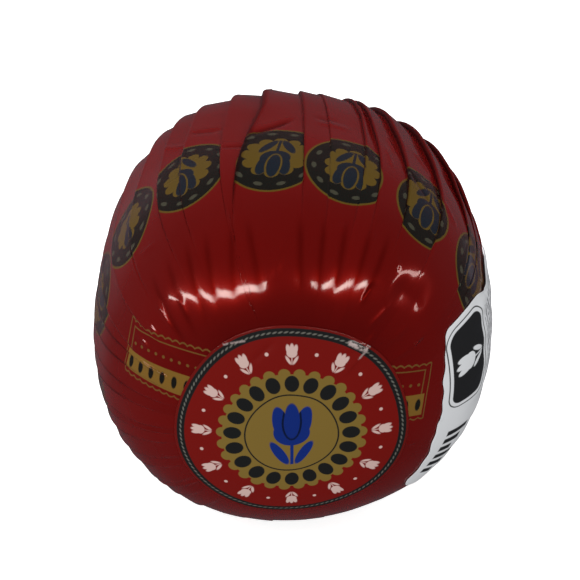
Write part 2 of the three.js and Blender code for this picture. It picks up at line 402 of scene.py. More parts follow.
@dataclass(frozen=True)
class Valleys:
    """The soft lines of painted shade in front, where the film begins to gather between its smooth bulges.

    Each place is an angle and a depth, and those on the left lean.
    """

    arcs: tuple[float, float] = (67.0, 43.0)
    leans: tuple[float, float] = (-4.5, 3.0)
    leaning_from: float = 105.0
    width: float = 1.6
    shade: float = 0.36
    places: tuple[tuple[float, float], ...] = (
        (143.7, 0.1),
        (136.4, 0.12),
        (128.5, 0.14),
        (121.7, 0.14),
        (113.4, 0.14),
        (104.0, 0.1),
        (88.1, 0.08),
        (80.8, 0.08),
        (74.0, 0.14),
        (66.5, 0.05),
        (60.5, 0.05),
    )

    def creases(self) -> tuple[Crease, ...]:
        """Makes the lines.

        Returns:
            One groove for each place.
        """
        made = []
        for degrees, depth in self.places:
            shifts = [lean * (degrees > self.leaning_from) for lean in self.leans]
            start, end = ((arc, degrees + shift) for arc, shift in zip(self.arcs, shifts))
            made.append(Crease(start, end, depth, self.width, CreaseKind.GROOVE, self.shade))
        return tuple(made)


@dataclass(frozen=True)
class Relief:
    """The low relief that the film and the labels on it share: soft dents and short creases."""

    form: BallForm
    dent: float = 0.08
    dent_size: float = 26.0
    dent_spread: float = 0.45
    dent_waves: int = 18
    dent_phase: float = 7.0
    creases: tuple[Crease, ...] = (*LABEL_CREASES, *GLINT_CREASES, *TOP_CREASES, *Valleys().creases())

    def dents(self, points: np.ndarray) -> np.ndarray:
        """Soft dents as a sum of waves in directions that turn by the golden angle.

        Args:
            points: Points on the ball, in millimetres.

        Returns:
            Heights.
        """
        total = np.zeros(points.shape[:-1])
        for i in range(self.dent_waves):
            tilt = math.acos(1 - 2 * (i + 0.5) / self.dent_waves)
            turn = 2 * math.pi * GOLDEN * i
            across = math.sin(tilt)
            direction = np.array([across * math.cos(turn), across * math.sin(turn), math.cos(tilt)])
            size = self.dent_size * (1 + self.dent_spread * scatter(i, 0.23))
            total += np.sin(points @ direction * (2 * math.pi / size) + self.dent_phase * i)
        return self.dent * total / math.sqrt(self.dent_waves / 2)

    def height_at(self, arc: np.ndarray, degrees: np.ndarray) -> np.ndarray:
        """Works out the relief's height over places of the film.

        Args:
            arc: Distances along the film from the front pole.
            degrees: Angles round the film.

        Returns:
            Heights.
        """
        x, y = on_sheet(arc, degrees)
        raised = self.dents(self.form.surface(arc, degrees, np.zeros_like(x)))
        return raised + sum(crease.height_at(x, y) for crease in self.creases)

    def shade_at(self, arc: np.ndarray, degrees: np.ndarray) -> np.ndarray:
        """The painted shade along the deeper creases over places of the film, from 0 to 1."""
        point = on_sheet(arc, degrees)
        return np.clip(sum(crease.shade_at(*point) for crease in self.creases if crease.shade), 0, 1)


ONE_VALUE_SUMS = ("ABSOLUTE", "ROUND", "FLOOR", "SINE", "COSINE")
# A plain tulip in tenths of its head's height: the cup, a side petal, the middle petal, a leaf and the
# outline round the middle petal, each a centre, radii and a turn, and then the stem's centre and size
TULIP_OVALS = (
    ((0.0, 1.0), (4.3, 3.9), 0.0),
    ((2.7, 3.7), (1.9, 4.7), -13.0),
    ((0.0, 4.2), (1.9, 5.0), 0.0),
    ((2.9, -5.2), (1.2, 4.0), -30.0),
    ((0.0, 4.2), (2.4, 5.5), 0.0),
)
TULIP_STEM = ((0.0, -5.6), (0.8, 6.4))


class Drawing:
    """Flat shapes drawn by nodes, as masks from 0 outside to 1 inside, in millimetres."""

    def __init__(self, tree: bpy.types.NodeTree, soft: float) -> None:
        """Keeps the material's nodes, and the width of a shape's soft edge."""
        self.tree = tree
        self.soft = soft

    def sheet(self) -> bpy.types.Node:
        """Reads the film's or label's print map as millimetres from the middle of its square.

        Returns:
            The node that gives the point.
        """
        uv = add_node(self.tree, "ShaderNodeUVMap", uv_map="Print")
        centred = add_node(self.tree, "ShaderNodeVectorMath", {0: uv, 1: (0.5, 0.5, 0)}, operation="SUBTRACT")
        inputs = {0: centred, "Scale": SHEET_SPAN}
        return add_node(self.tree, "ShaderNodeVectorMath", inputs, operation="SCALE")

    def moved(
        self,
        point: bpy.types.Node,
        centre: tuple[float, float],
        turn: float = 0.0,
        size: tuple[float, float] = (1.0, 1.0),
    ) -> bpy.types.Node:
        """The point seen from a shape's own centre, turned and scaled to its size.

        Args:
            point: The point on the sheet.
            centre: The shape's centre.
            turn: Its turn in degrees.
            size: What counts as 1 across and up it.

        Returns:
            The node that gives the point.
        """
        inputs = {
            "Vector": point,
            "Location": (*centre, 0),
            "Rotation": (0, 0, math.radians(turn)),
            "Scale": (*size, 1),
        }
        return add_node(self.tree, "ShaderNodeMapping", inputs, vector_type="TEXTURE")

    def below(self, value: bpy.types.Node, edge: float, soft: float | None = None) -> bpy.types.Node:
        """A mask that is 1 where the value is under the edge.

        Args:
            value: The value.
            edge: Where the mask is half gone.
            soft: The width of its soft edge, if not the drawing's own.

        Returns:
            The node that gives the mask.
        """
        half = (self.soft if soft is None else soft) / 2
        ends = {"From Min": edge - half, "From Max": edge + half, "To Min": 1.0, "To Max": 0.0}
        return add_node(self.tree, "ShaderNodeMapRange", {"Value": value} | ends)

    def maths(self, operation: str, first: object, second: object = 0.0) -> bpy.types.Node:
        """The result of one sum on two values."""
        inputs = {0: first} if operation in ONE_VALUE_SUMS else {0: first, 1: second}
        return add_node(self.tree, "ShaderNodeMath", inputs, operation=operation)

    def split(self, point: bpy.types.Node) -> tuple[bpy.types.NodeSocket, bpy.types.NodeSocket]:
        """A point's two coordinates."""
        parts = add_node(self.tree, "ShaderNodeSeparateXYZ", {0: point})
        return parts.outputs["X"], parts.outputs["Y"]

    def away(self, point: bpy.types.Node) -> bpy.types.NodeSocket:
        """The distance from the point's centre."""
        length = add_node(self.tree, "ShaderNodeVectorMath", {0: point}, operation="LENGTH")
        return length.outputs["Value"]

    def disc(self, point: bpy.types.Node, radius: float) -> bpy.types.Node:
        """A filled circle."""
        return self.below(self.away(point), radius)

    def ring(self, point: bpy.types.Node, radius: float, width: float) -> bpy.types.Node:
        """A line of some width along a circle."""
        aside = self.maths("SUBTRACT", self.away(point), radius)
        return self.below(self.maths("ABSOLUTE", aside), width / 2)

    def oval(
        self,
        point: bpy.types.Node,
        centre: tuple[float, float],
        radii: tuple[float, float],
        turn: float = 0.0,
    ) -> bpy.types.Node:
        """A filled ellipse."""
        own = self.moved(point, centre, turn, radii)
        return self.below(self.away(own), 1.0, self.soft / min(radii))

    def bar(
        self,
        point: bpy.types.Node,
        centre: tuple[float, float],
        size: tuple[float, float],
        turn: float = 0.0,
        corner: float = 0.0,
    ) -> bpy.types.Node:
        """A filled rectangle, with round corners of some radius."""
        return self.below(self.from_bar(point, centre, size, turn, corner), 0.0)

    def from_bar(
        self,
        point: bpy.types.Node,
        centre: tuple[float, float],
        size: tuple[float, float],
        turn: float = 0.0,
        corner: float = 0.0,
    ) -> bpy.types.Node:
        """The distance outside a rectangle, or below 0 inside it.

        Args:
            point: The point on the sheet.
            centre: The rectangle's centre.
            size: Its width and height.
            turn: Its turn in degrees.
            corner: The radius of its corners.

        Returns:
            The node that gives the distance.
        """
        own = self.moved(point, centre, turn)
        across = add_node(self.tree, "ShaderNodeVectorMath", {0: own}, operation="ABSOLUTE")
        inner = (size[0] / 2 - corner, size[1] / 2 - corner, 0)
        over = add_node(self.tree, "ShaderNodeVectorMath", {0: across, 1: inner}, operation="SUBTRACT")
        x, y = self.split(over)
        farther = self.maths("MAXIMUM", x, y)
        if not corner:
            return farther
        outside = add_node(self.tree, "ShaderNodeVectorMath", {0: over, 1: (0, 0, 0)}, operation="MAXIMUM")
        inside = self.maths("MINIMUM", farther, 0.0)
        return self.maths("SUBTRACT", self.maths("ADD", self.away(outside), inside), corner)

    def repeated(self, point: bpy.types.Node, radius: float, count: int, first: float) -> bpy.types.Node:
        """The point seen from the nearest of several places on a circle.

        Args:
            point: The point seen from the circle's centre.
            radius: The circle's radius.
            count: How many places there are in a full turn.
            first: The angle of one of them.

        Returns:
            A point whose second coordinate runs outwards.
        """
        x, y = self.split(point)
        pitch = 2 * math.pi / count
        turned = self.maths("SUBTRACT", self.maths("ARCTAN2", y, x), math.radians(first))
        aside = self.maths("SUBTRACT", self.nearest(turned, pitch), turned)
        away = self.away(point)
        across = self.maths("MULTIPLY", away, self.maths("SINE", aside))
        out = self.maths("SUBTRACT", self.maths("MULTIPLY", away, self.maths("COSINE", aside)), radius)
        return add_node(self.tree, "ShaderNodeCombineXYZ", {0: across, 1: out})

    def nearest(self, value: bpy.types.Node, pitch: float) -> bpy.types.Node:
        """The nearest whole number of pitches to a value."""
        return self.maths("MULTIPLY", self.maths("ROUND", self.maths("DIVIDE", value, pitch)), pitch)

    def rowed(self, point: bpy.types.Node, pitch: float) -> bpy.types.Node:
        """The point seen from the nearest of a row of places across."""
        x, y = self.split(point)
        aside = self.maths("SUBTRACT", x, self.nearest(x, pitch))
        return add_node(self.tree, "ShaderNodeCombineXYZ", {0: aside, 1: y})

    def joined(self, *masks: bpy.types.Node) -> bpy.types.Node:
        """Where any mask is."""
        return functools.reduce(functools.partial(self.maths, "MAXIMUM"), masks)

    def shared(self, *masks: bpy.types.Node) -> bpy.types.Node:
        """Where all masks are."""
        return functools.reduce(functools.partial(self.maths, "MULTIPLY"), masks)

    def without(self, mask: bpy.types.Node) -> bpy.types.Node:
        """Where a mask isn't."""
        return self.maths("SUBTRACT", 1.0, mask)

    def mirrored(self, point: bpy.types.Node) -> bpy.types.Node:
        """The point with its left side folded over its right side."""
        x, y = self.split(point)
        return add_node(self.tree, "ShaderNodeCombineXYZ", {0: self.maths("ABSOLUTE", x), 1: y})

    def painted(self, ground: str, layers: Sequence[tuple[bpy.types.Node, str]]) -> bpy.types.Node:
        """Lays colours over a ground, in order.

        Args:
            ground: The first colour, in hex digits.
            layers: Masks, each with the colour that is laid there.

        Returns:
            The node that gives the colour.
        """
        colour = linear(ground)
        for mask, paint in layers:
            inputs = {"Factor": mask, "A": colour, "B": linear(paint)}
            colour = add_node(self.tree, "ShaderNodeMix", inputs, data_type="RGBA")
        return colour

    def tulip(self, point: bpy.types.Node, size: float) -> tuple[bpy.types.Node, bpy.types.Node]:
        """A plain tulip with two leaves, its head upwards.

        Args:
            point: The point seen from the tulip's middle.
            size: The height of its head.

        Returns:
            The mask of the whole flower, and of the lines between its petals.
        """
        unit = size / 10
        half = self.mirrored(point)
        cup, side, middle, leaf, around = (
            self.oval(half, (x * unit, y * unit), (wide * unit, high * unit), turn)
            for (x, y), (wide, high), turn in TULIP_OVALS
        )
        (x, y), (wide, high) = TULIP_STEM
        stem = self.bar(half, (x * unit, y * unit), (wide * unit, high * unit))
        line = self.maths("SUBTRACT", around, middle)
        head = self.joined(cup, side, middle)
        return self.joined(head, stem, leaf), self.shared(line, head)


@dataclass(frozen=True)
class Finish:
    """What every printed finish here has: a clear glossy skin, a base under it and a fine uneven surface."""

    name: str
    roughness: float
    ior: float
    coat: float
    coat_roughness: float
    coat_ior: float
    gloss_tint: str = WHITE
    sheen: float = 0.0
    sheen_tint: str = WHITE
    sheen_roughness: float = 0.5

    def shader(self, tree: bpy.types.NodeTree, inputs: dict[str, object]) -> None:
        """Adds the surface shader and its output.

        Args:
            tree: The material's nodes.
            inputs: What is linked, or set beyond the finish's own values.
        """
        own = {
            "Roughness": self.roughness,
            "IOR": self.ior,
            "Specular Tint": linear(self.gloss_tint),
            "Coat Weight": self.coat,
            "Coat Roughness": self.coat_roughness,
            "Coat IOR": self.coat_ior,
            "Sheen Weight": self.sheen,
            "Sheen Roughness": self.sheen_roughness,
            "Sheen Tint": linear(self.sheen_tint),
        }
        surface = add_node(tree, "ShaderNodeBsdfPrincipled", own | inputs)
        add_node(tree, "ShaderNodeOutputMaterial", {"Surface": surface})


@dataclass(frozen=True)
class MedallionRing:
    """The film's ring of round medallions: a beaded dark ring round a scalloped rosette with a tulip."""

    gold: str = "5D4D18"
    ink: str = "061B17"
    bead: str = "3E4538"
    navy: str = "00242E"
    centre: tuple[float, float] = (-7.2, 3.9)
    ring: float = 90.5
    count: int = 14
    first: float = 93.3
    radius: float = 17.5
    rim: float = 0.7
    beads: int = 12
    bead_ring: float = 14.35
    bead_radii: tuple[float, float] = (1.5, 0.8)
    lobe_ring: float = 8.75
    lobe_radius: float = 2.4
    middle_radius: float = 9.1
    flower_size: float = 11.5
    flower_drop: float = 0.4

    def layers(self, draw: Drawing, sheet: bpy.types.Node) -> list[tuple[bpy.types.Node, str]]:
        """Draws the medallions, whose feet point to the ball's back.

        Args:
            draw: Draws on the film's nodes.
            sheet: The point on the flat sheet.

        Returns:
            Layers of paint.
        """
        own = draw.repeated(draw.moved(sheet, self.centre), self.ring, self.count, self.first)
        bead = draw.repeated(own, self.bead_ring, self.beads, 180 / self.beads)
        lobe = draw.repeated(own, self.lobe_ring, self.beads, 0)
        flower, lines = draw.tulip(draw.moved(own, (0, -self.flower_drop), 180), self.flower_size)
        return [
            (draw.disc(own, self.radius), self.gold),
            (draw.disc(own, self.radius - self.rim), self.ink),
            (draw.oval(bead, (0, 0), self.bead_radii), self.bead),
            (draw.joined(draw.disc(own, self.middle_radius), draw.disc(lobe, self.lobe_radius)), self.gold),
            (flower, self.navy),
            (lines, self.gold),
        ]


@dataclass(frozen=True)
class LongPanel:
    """The long panel behind the round label: a scalloped gold outline round a red field and a gold bar."""

    line_gold: str = "6C4E26"
    bar_gold: str = "7C5F27"
    ink: str = "061B17"
    centre: tuple[float, float] = (-8.5, 10.3)
    size: tuple[float, float] = (106.0, 19.5)
    turn: float = -7.0
    scallop_waves: float = 1.1
    scallop_depth: float = 0.7
    outline: float = 0.3
    rule: float = 0.22
    rule_inset: tuple[float, float] = (3.4, 3.0)
    bar_centre: tuple[float, float] = (0.0, -4.6)
    bar_inset: float = 0.8
    bar_height: float = 8.2
    lozenge_pitch: float = 4.6
    lozenge_radii: tuple[float, float] = (1.0, 2.3)
    dot_pitch: float = 3.1
    dot_centre: tuple[float, float] = (0.0, 3.2)
    dot_radius: float = 0.55
    dot_inset: float = 1.0

    def layers(self, draw: Drawing, sheet: bpy.types.Node) -> list[tuple[bpy.types.Node, str]]:
        """Draws the panel.

        Args:
            draw: Draws on the film's nodes.
            sheet: The point on the flat sheet.

        Returns:
            Layers of paint.
        """
        wide, high = self.size
        own = draw.moved(sheet, self.centre, self.turn)
        x, _ = draw.split(own)
        ripple = draw.maths("ABSOLUTE", draw.maths("SINE", draw.maths("MULTIPLY", x, self.scallop_waves)))
        wave = draw.maths("MULTIPLY", ripple, self.scallop_depth)
        outside = draw.maths("SUBTRACT", draw.from_bar(own, (0, 0), self.size), wave)
        edge = draw.below(draw.maths("ABSOLUTE", outside), self.outline)
        within = draw.from_bar(own, (0, 0), (wide - self.rule_inset[0], high - self.rule_inset[1]))
        rule = draw.below(draw.maths("ABSOLUTE", within), self.rule)
        bar = draw.bar(own, self.bar_centre, (wide - self.bar_inset, self.bar_height))
        lozenge = draw.oval(draw.rowed(own, self.lozenge_pitch), self.bar_centre, self.lozenge_radii)
        dots = draw.disc(draw.moved(draw.rowed(own, self.dot_pitch), self.dot_centre), self.dot_radius)
        row = draw.shared(dots, draw.below(within, -self.dot_inset))
        return [
            (draw.joined(edge, rule, row), self.line_gold),
            (bar, self.bar_gold),
            (draw.shared(lozenge, bar), self.ink),
        ]


@dataclass(frozen=True)
class PrintedFilm(Finish):
    """Cast polypropylene film, printed deep red inside: it gives a dark red ground under a sharp wet gloss.

    The red is lighter towards the back, as painted light for its brighter rim, and darker above the round
    label, as painted shade; it also differs a little from panel to panel. The gaps under the folds and the
    lines between the bulges get painted shade and lose the gloss.
    Fine streaks run along it, and a panel between two folds is taken to be about 11 mm wide.
    """

    name: str = "printed_red_polypropylene_film"
    roughness: float = 0.24
    ior: float = 1.5
    coat: float = 1.0
    coat_roughness: float = 0.07
    coat_ior: float = 1.42
    gloss_tint: str = "FF2A18"
    sheen: float = 0.11
    sheen_tint: str = "D82020"
    red: str = "6E0E0B"
    deep_red: str = "600B09"
    rim_light_red: str = "780F0C"
    dark_red: str = "3A0505"
    gap_shade_black: str = "0B0303"
    edge_softness: float = 0.3
    cloud_size: float = 45.0
    tone_share: float = 0.14
    rim_light_from: float = 92.0
    rim_light_fade: float = 36.0
    label_shade_share: float = 0.42
    label_shade_reach: float = 47.0
    label_shade_fade: float = 15.0
    label_shade_above: tuple[float, float] = (16.0, 26.0)
    gap_shade_share: float = 0.9
    gap_gloss_loss: float = 3.0
    streak_pitch: float = 2.2
    streak_length: float = 30.0
    panel_width: float = 11.0
    streak_strength: float = 0.1
    streak_depth: float = 0.12
    medallions: MedallionRing = MedallionRing()
    panel: LongPanel = LongPanel()

    def painted_shade_above_label(self, draw: Drawing, sheet: bpy.types.Node) -> bpy.types.Node:
        """A soft mask of painted shade above the round label, where the film looks darker.

        Args:
            draw: Draws on the film's nodes.
            sheet: The point on the flat sheet.

        Returns:
            The node that gives the mask.
        """
        away = draw.away(draw.moved(sheet, ROUND_LABEL_CENTRE))
        _, up = draw.split(sheet)
        near = draw.below(away, self.label_shade_reach, self.label_shade_fade)
        above = draw.without(draw.below(up, *self.label_shade_above))
        return draw.maths("MULTIPLY", draw.shared(near, above), self.label_shade_share)

    def material(self) -> bpy.types.Material:
        """Makes the film's material.

        Returns:
            The material.
        """
        material = empty_material(self.name)
        tree = material.node_tree
        draw = Drawing(tree, self.edge_softness)
        sheet = draw.sheet()
        place = add_node(tree, "ShaderNodeTexCoord").outputs["Object"]
        size = {"Vector": place, "Scale": 1 / (self.cloud_size * MM), "Detail": NOISE_DETAIL}
        cloud = add_node(tree, "ShaderNodeTexNoise", size)
        along = add_node(tree, "ShaderNodeUVMap", uv_map="Along")
        around, reach = draw.split(along)
        front = draw.below(reach, self.rim_light_from / ALONG_SPAN, self.rim_light_fade / ALONG_SPAN)
        panel = draw.maths("MODULO", draw.maths("FLOOR", around), float(FOLD_COUNT))
        tone = add_node(tree, "ShaderNodeTexWhiteNoise", {"W": panel}, noise_dimensions="1D").outputs["Value"]
        gap, _ = draw.split(add_node(tree, "ShaderNodeUVMap", uv_map="Gap"))
        layers = [
            (cloud, self.deep_red),
            # painted light: a lighter red towards the back, where the film's rim looks brighter
            (draw.without(front), self.rim_light_red),
            (draw.maths("MULTIPLY", tone, self.tone_share), self.dark_red),
            # painted shade above the round label
            (self.painted_shade_above_label(draw, sheet), self.dark_red),
            *self.medallions.layers(draw, sheet),
            *self.panel.layers(draw, sheet),
            # painted shade in the folds' gaps and along the dark crease lines
            (draw.maths("MULTIPLY", gap, self.gap_shade_share), self.gap_shade_black),
        ]
        colour = draw.painted(self.red, layers)
        scale = (self.panel_width / self.streak_pitch, ALONG_SPAN / self.streak_length, 1)
        streaks = add_node(tree, "ShaderNodeMapping", {"Vector": along, "Scale": scale})
        fine = add_node(tree, "ShaderNodeTexNoise", {"Vector": streaks, "Scale": 1.0, "Detail": 1.0})
        relief = {"Strength": self.streak_strength, "Distance": self.streak_depth * MM, "Height": fine}
        bump = add_node(tree, "ShaderNodeBump", relief)
        lost = draw.maths("MINIMUM", draw.maths("MULTIPLY", gap, self.gap_gloss_loss), 1.0)
        wet = draw.maths("SUBTRACT", self.coat, lost)
        self.shader(tree, {"Base Color": colour, "Coat Weight": wet, "Normal": bump, "Coat Normal": bump})
        return material


@dataclass(frozen=True)
class LabelPaper(Finish):
    """Label paper of any kind, whose fibres give the gloss a fine soft grain."""

    grain_size: float = 1.6
    grain_strength: float = 0.12
    grain_depth: float = 0.1

    def surface(self, tree: bpy.types.NodeTree, colour: bpy.types.Node) -> None:
        """Gives printed paper its grain and its gloss.

        Args:
            tree: The material's nodes.
            colour: The node that gives the print.
        """
        place = add_node(tree, "ShaderNodeTexCoord").outputs["Object"]
        size = {"Vector": place, "Scale": 1 / (self.grain_size * MM), "Detail": NOISE_DETAIL}
        grain = add_node(tree, "ShaderNodeTexNoise", size)
        relief = {"Strength": self.grain_strength, "Distance": self.grain_depth * MM, "Height": grain}
        bump = add_node(tree, "ShaderNodeBump", relief)
        self.shader(tree, {"Base Color": colour, "Normal": bump})


@dataclass(frozen=True)
class RoundLabelPaper(LabelPaper):
    """Coated label paper, printed and varnished: a brighter red than the film, with a softer gloss.

    It has painted highlights, pale streaks along its creases. Its print is a dark rim with a twisted cord,
    a ring of small tulips and dots, and a scalloped gold disc with a ring of ovals round one large tulip.
    """

    name: str = "varnished_label_paper"
    roughness: float = 0.4
    ior: float = 1.14
    coat: float = 0.5
    coat_roughness: float = 0.12
    coat_ior: float = 1.45
    red: str = "780F09"
    rim_red: str = "6E100B"
    gold: str = "80682E"
    ink: str = "1E1F1F"
    cord_grey: str = "6F6E66"
    blue: str = "0E2A78"
    dark_blue: str = "0A1738"
    pale_pink: str = "D3B4AC"
    painted_glint_white: str = "B4A29E"
    edge_softness: float = 0.25
    rim_inside: float = 37.9
    ring_radius: float = 36.85
    ring_width: float = 2.7
    cord_strands: int = 128
    strand_radii: tuple[float, float] = (0.72, 0.26)
    strand_turn: float = 18.0
    blossoms: int = 12
    blossom_ring: float = 29.6
    blossom_size: float = 3.9
    dot_ring: float = 30.2
    dot_radius: float = 0.6
    disc_radius: float = 22.7
    scallops: int = 30
    scallop_radius: float = 1.9
    petals: int = 20
    petal_ring: float = 19.2
    petal_radii: tuple[float, float] = (2.3, 3.0)
    inner_ring: tuple[float, float] = (15.0, 0.5)
    flower_size: float = 13.5
    flower_drop: float = 0.6
    glint_noise: float = 0.9
    glint_edge: tuple[float, float] = (0.44, 0.16)
    glint_softness: float = 0.7
    glint_roundness: float = 2.1
    glint_lines: tuple[tuple[tuple[float, float], tuple[float, float], float], ...] = (
        ((17.5, 32.6), (23.4, 28.9), 1.4),
        ((22.6, 29.3), (24.2, 31.4), 1.1),
        ((20.6, 26.5), (22.6, 28.6), 0.5),
        ((-21.5, 32.0), (-14.5, 33.4), 0.4),
    )

    def painted_crease_glints(self, draw: Drawing, sheet: bpy.types.Node) -> bpy.types.Node:
        """A mask of painted highlights along the paper's creases, broken by noise.

        Args:
            draw: Draws on the label's nodes.
            sheet: The point on the label.

        Returns:
            The node that gives the mask.
        """
        noise = {"Vector": sheet, "Scale": self.glint_noise, "Detail": NOISE_DETAIL}
        rough = add_node(draw.tree, "ShaderNodeTexNoise", noise)
        masks = []
        for start, end, width in self.glint_lines:
            middle = ((start[0] + end[0]) / 2, (start[1] + end[1]) / 2)
            turn = math.degrees(math.atan2(end[1] - start[1], end[0] - start[0]))
            size = (math.dist(start, end), width)
            line = draw.from_bar(sheet, middle, size, turn, width / self.glint_roundness)
            masks.append(draw.below(line, 0.0, self.glint_softness))
        return draw.shared(draw.joined(*masks), draw.without(draw.below(rough, *self.glint_edge)))

    def material(self) -> bpy.types.Material:
        """Makes the round label's material.

        Returns:
            The material.
        """
        material = empty_material(self.name)
        tree = material.node_tree
        draw = Drawing(tree, self.edge_softness)
        sheet = draw.sheet()
        strand = draw.repeated(sheet, self.ring_radius, self.cord_strands, 0)
        blossom, _ = draw.tulip(draw.repeated(sheet, self.blossom_ring, self.blossoms, 0), self.blossom_size)
        dot = draw.repeated(sheet, self.dot_ring, self.blossoms, 180 / self.blossoms)
        dots = draw.disc(dot, self.dot_radius)
        scallop = draw.disc(draw.repeated(sheet, self.disc_radius, self.scallops, 0), self.scallop_radius)
        petal = draw.oval(draw.repeated(sheet, self.petal_ring, self.petals, 0), (0, 0), self.petal_radii)
        flower, lines = draw.tulip(draw.moved(sheet, (0, -self.flower_drop)), self.flower_size)
        layers = [
            (draw.without(draw.disc(sheet, self.rim_inside)), self.rim_red),
            (draw.ring(sheet, self.ring_radius, self.ring_width), self.ink),
            (draw.oval(strand, (0, 0), self.strand_radii, self.strand_turn), self.cord_grey),
            (draw.joined(blossom, dots), self.pale_pink),
            (draw.joined(draw.disc(sheet, self.disc_radius), scallop), self.gold),
            (draw.joined(petal, draw.ring(sheet, *self.inner_ring)), self.ink),
            (flower, self.blue),
            (lines, self.dark_blue),
            # painted highlight along the label's creases
            (self.painted_crease_glints(draw, sheet), self.painted_glint_white),
        ]
        self.surface(tree, draw.painted(self.red, layers))
        return material


@dataclass(frozen=True)
class WhiteLabelPaper(LabelPaper):
    """Semi-gloss white label stock, printed in black: flat cool white that shows only broad reflections.

    Its print is a dark field with round corners, a border and a white tulip, a stack of bars, and rows of
    broken grey lines that stand for small print.
    """

    name: str = "white_label_stock"
    roughness: float = 0.45
    ior: float = 1.45
    coat: float = 0.3
    coat_roughness: float = 0.25
    coat_ior: float = 1.45
    grain_size: float = 1.2
    grain_strength: float = 0.1
    white: str = "EAECEF"
    black: str = "242527"
    grey: str = "7B7D82"
    edge_softness: float = 0.3
    field_centre: tuple[float, float] = (-19.5, 22.2)
    field_size: tuple[float, float] = (20.0, 36.0)
    field_corner: float = 5.0
    border_inside: tuple[float, float] = (3.1, 6.4)
    border_outside: tuple[float, float] = (4.2, 7.0)
    flower_size: float = 9.0
    bars: int = 6
    bar_left: float = -27.0
    bar_top: float = -12.0
    bar_pitch: float = 4.4
    bar_width: float = 2.7
    bar_length: float = 10.0
    bar_spread: float = 4.0
    line_first: tuple[float, float] = (-5.0, 0.0)
    line_pitch: float = 2.3
    line_size: tuple[float, float] = (1.0, 80.0)
    small_print_centre: tuple[float, float] = (12.0, 0.0)
    small_print_size: tuple[float, float] = (34.0, 78.0)
    word_noise: float = 0.55
    word_edge: tuple[float, float] = (0.45, 0.1)

    def small_print(self, draw: Drawing, sheet: bpy.types.Node) -> bpy.types.Node:
        """A mask of the broken lines.

        Args:
            draw: Draws on the label's nodes.
            sheet: The point on the label.

        Returns:
            The node that gives the mask.
        """
        noise = {"Vector": sheet, "Scale": self.word_noise, "Detail": NOISE_DETAIL}
        words = add_node(draw.tree, "ShaderNodeTexNoise", noise)
        broken = draw.without(draw.below(words, *self.word_edge))
        line = draw.rowed(draw.moved(sheet, self.line_first), self.line_pitch)
        lines = draw.bar(line, (0, 0), self.line_size)
        return draw.shared(lines, draw.bar(sheet, self.small_print_centre, self.small_print_size), broken)

    def material(self) -> bpy.types.Material:
        """Makes the white label's material.

        Returns:
            The material.
        """
        material = empty_material(self.name)
        tree = material.node_tree
        draw = Drawing(tree, self.edge_softness)
        sheet = draw.sheet()
        frames = (
            (*self.border_outside, self.black),
            (*self.border_inside, self.white),
            (0.0, self.field_corner, self.black),
        )
        layers = []
        for more, corner, paint in frames:
            size = (self.field_size[0] + more, self.field_size[1] + more)
            layers.append((draw.bar(sheet, self.field_centre, size, 0, corner), paint))
        flower, _ = draw.tulip(draw.moved(sheet, self.field_centre, 90), self.flower_size)
        layers.append((flower, self.white))
        for i in range(self.bars):
            length = self.bar_length + self.bar_spread * float(scatter(i, 0.3))
            middle = (self.bar_left + length / 2, self.bar_top - self.bar_pitch * i)
            layers.append((draw.bar(sheet, middle, (length, self.bar_width)), self.black))
        layers.append((self.small_print(draw, sheet), self.grey))
        self.surface(tree, draw.painted(self.white, layers))
        return material


def finished_piece(
    name: str,
    grid: bmesh.types.BMesh,
    material: bpy.types.Material,
    node: str,
) -> bpy.types.Object:
    """Makes a piece of a finished mesh, and hangs it on the model.

    Args:
        name: The piece's name.
        grid: Its mesh, which is freed.
        material: Its finish.
        node: The model's node that it stands for.

    Returns:
        The piece.
    """
    mesh = bpy.data.meshes.new(name)
    grid.to_mesh(mesh)
    grid.free()
    mesh.materials.append(material)
    piece = placed(name, mesh)
    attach(piece, "root")
    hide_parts(node)
    LOG.info("%s: %d faces, replaces %s", name, len(mesh.polygons), node)
    return piece


def shaped_grid(points: np.ndarray, maps: dict[str, np.ndarray]) -> bmesh.types.BMesh:
    """Makes a grid of faces and moves its corners to given places.

    Args:
        points: Places in millimetres, by row and column.
        maps: UV coordinates by the name of their map, by row and column.

    Returns:
        The mesh, in metres.
    """
    rows, columns = (count - 1 for count in points.shape[:2])
    grid = bmesh.new()
    bmesh.ops.create_grid(grid, x_segments=columns, y_segments=rows, size=1.0)
    layers = {name: grid.loops.layers.uv.new(name) for name in maps}
    cells = {}
    for vert in grid.verts:
        cells[vert] = (round((vert.co.y + 1) / 2 * rows), round((vert.co.x + 1) / 2 * columns))
    for face in grid.faces:
        face.smooth = True
        for loop in face.loops:
            for name, layer in layers.items():
                loop[layer].uv = maps[name][cells[loop.vert]]
    for vert, cell in cells.items():
        vert.co = points[cell] * MM
    bmesh.ops.remove_doubles(grid, verts=grid.verts[:], dist=WELD)
    bmesh.ops.recalc_face_normals(grid, faces=grid.faces[:])
    return grid


def label_grid(points: np.ndarray, sheet: np.ndarray, thickness: float) -> bmesh.types.BMesh:
    """Makes a label's mesh.

    Args:
        points: Places on its outside, in millimetres, by row and column.
        sheet: The same places on the flat label.
        thickness: The paper's thickness.

    Returns:
        The mesh, closed, in metres.
    """
    grid = shaped_grid(points, {"Print": 0.5 + sheet / SHEET_SPAN})
    bmesh.ops.solidify(grid, geom=grid.faces[:], thickness=thickness * MM)
    return grid


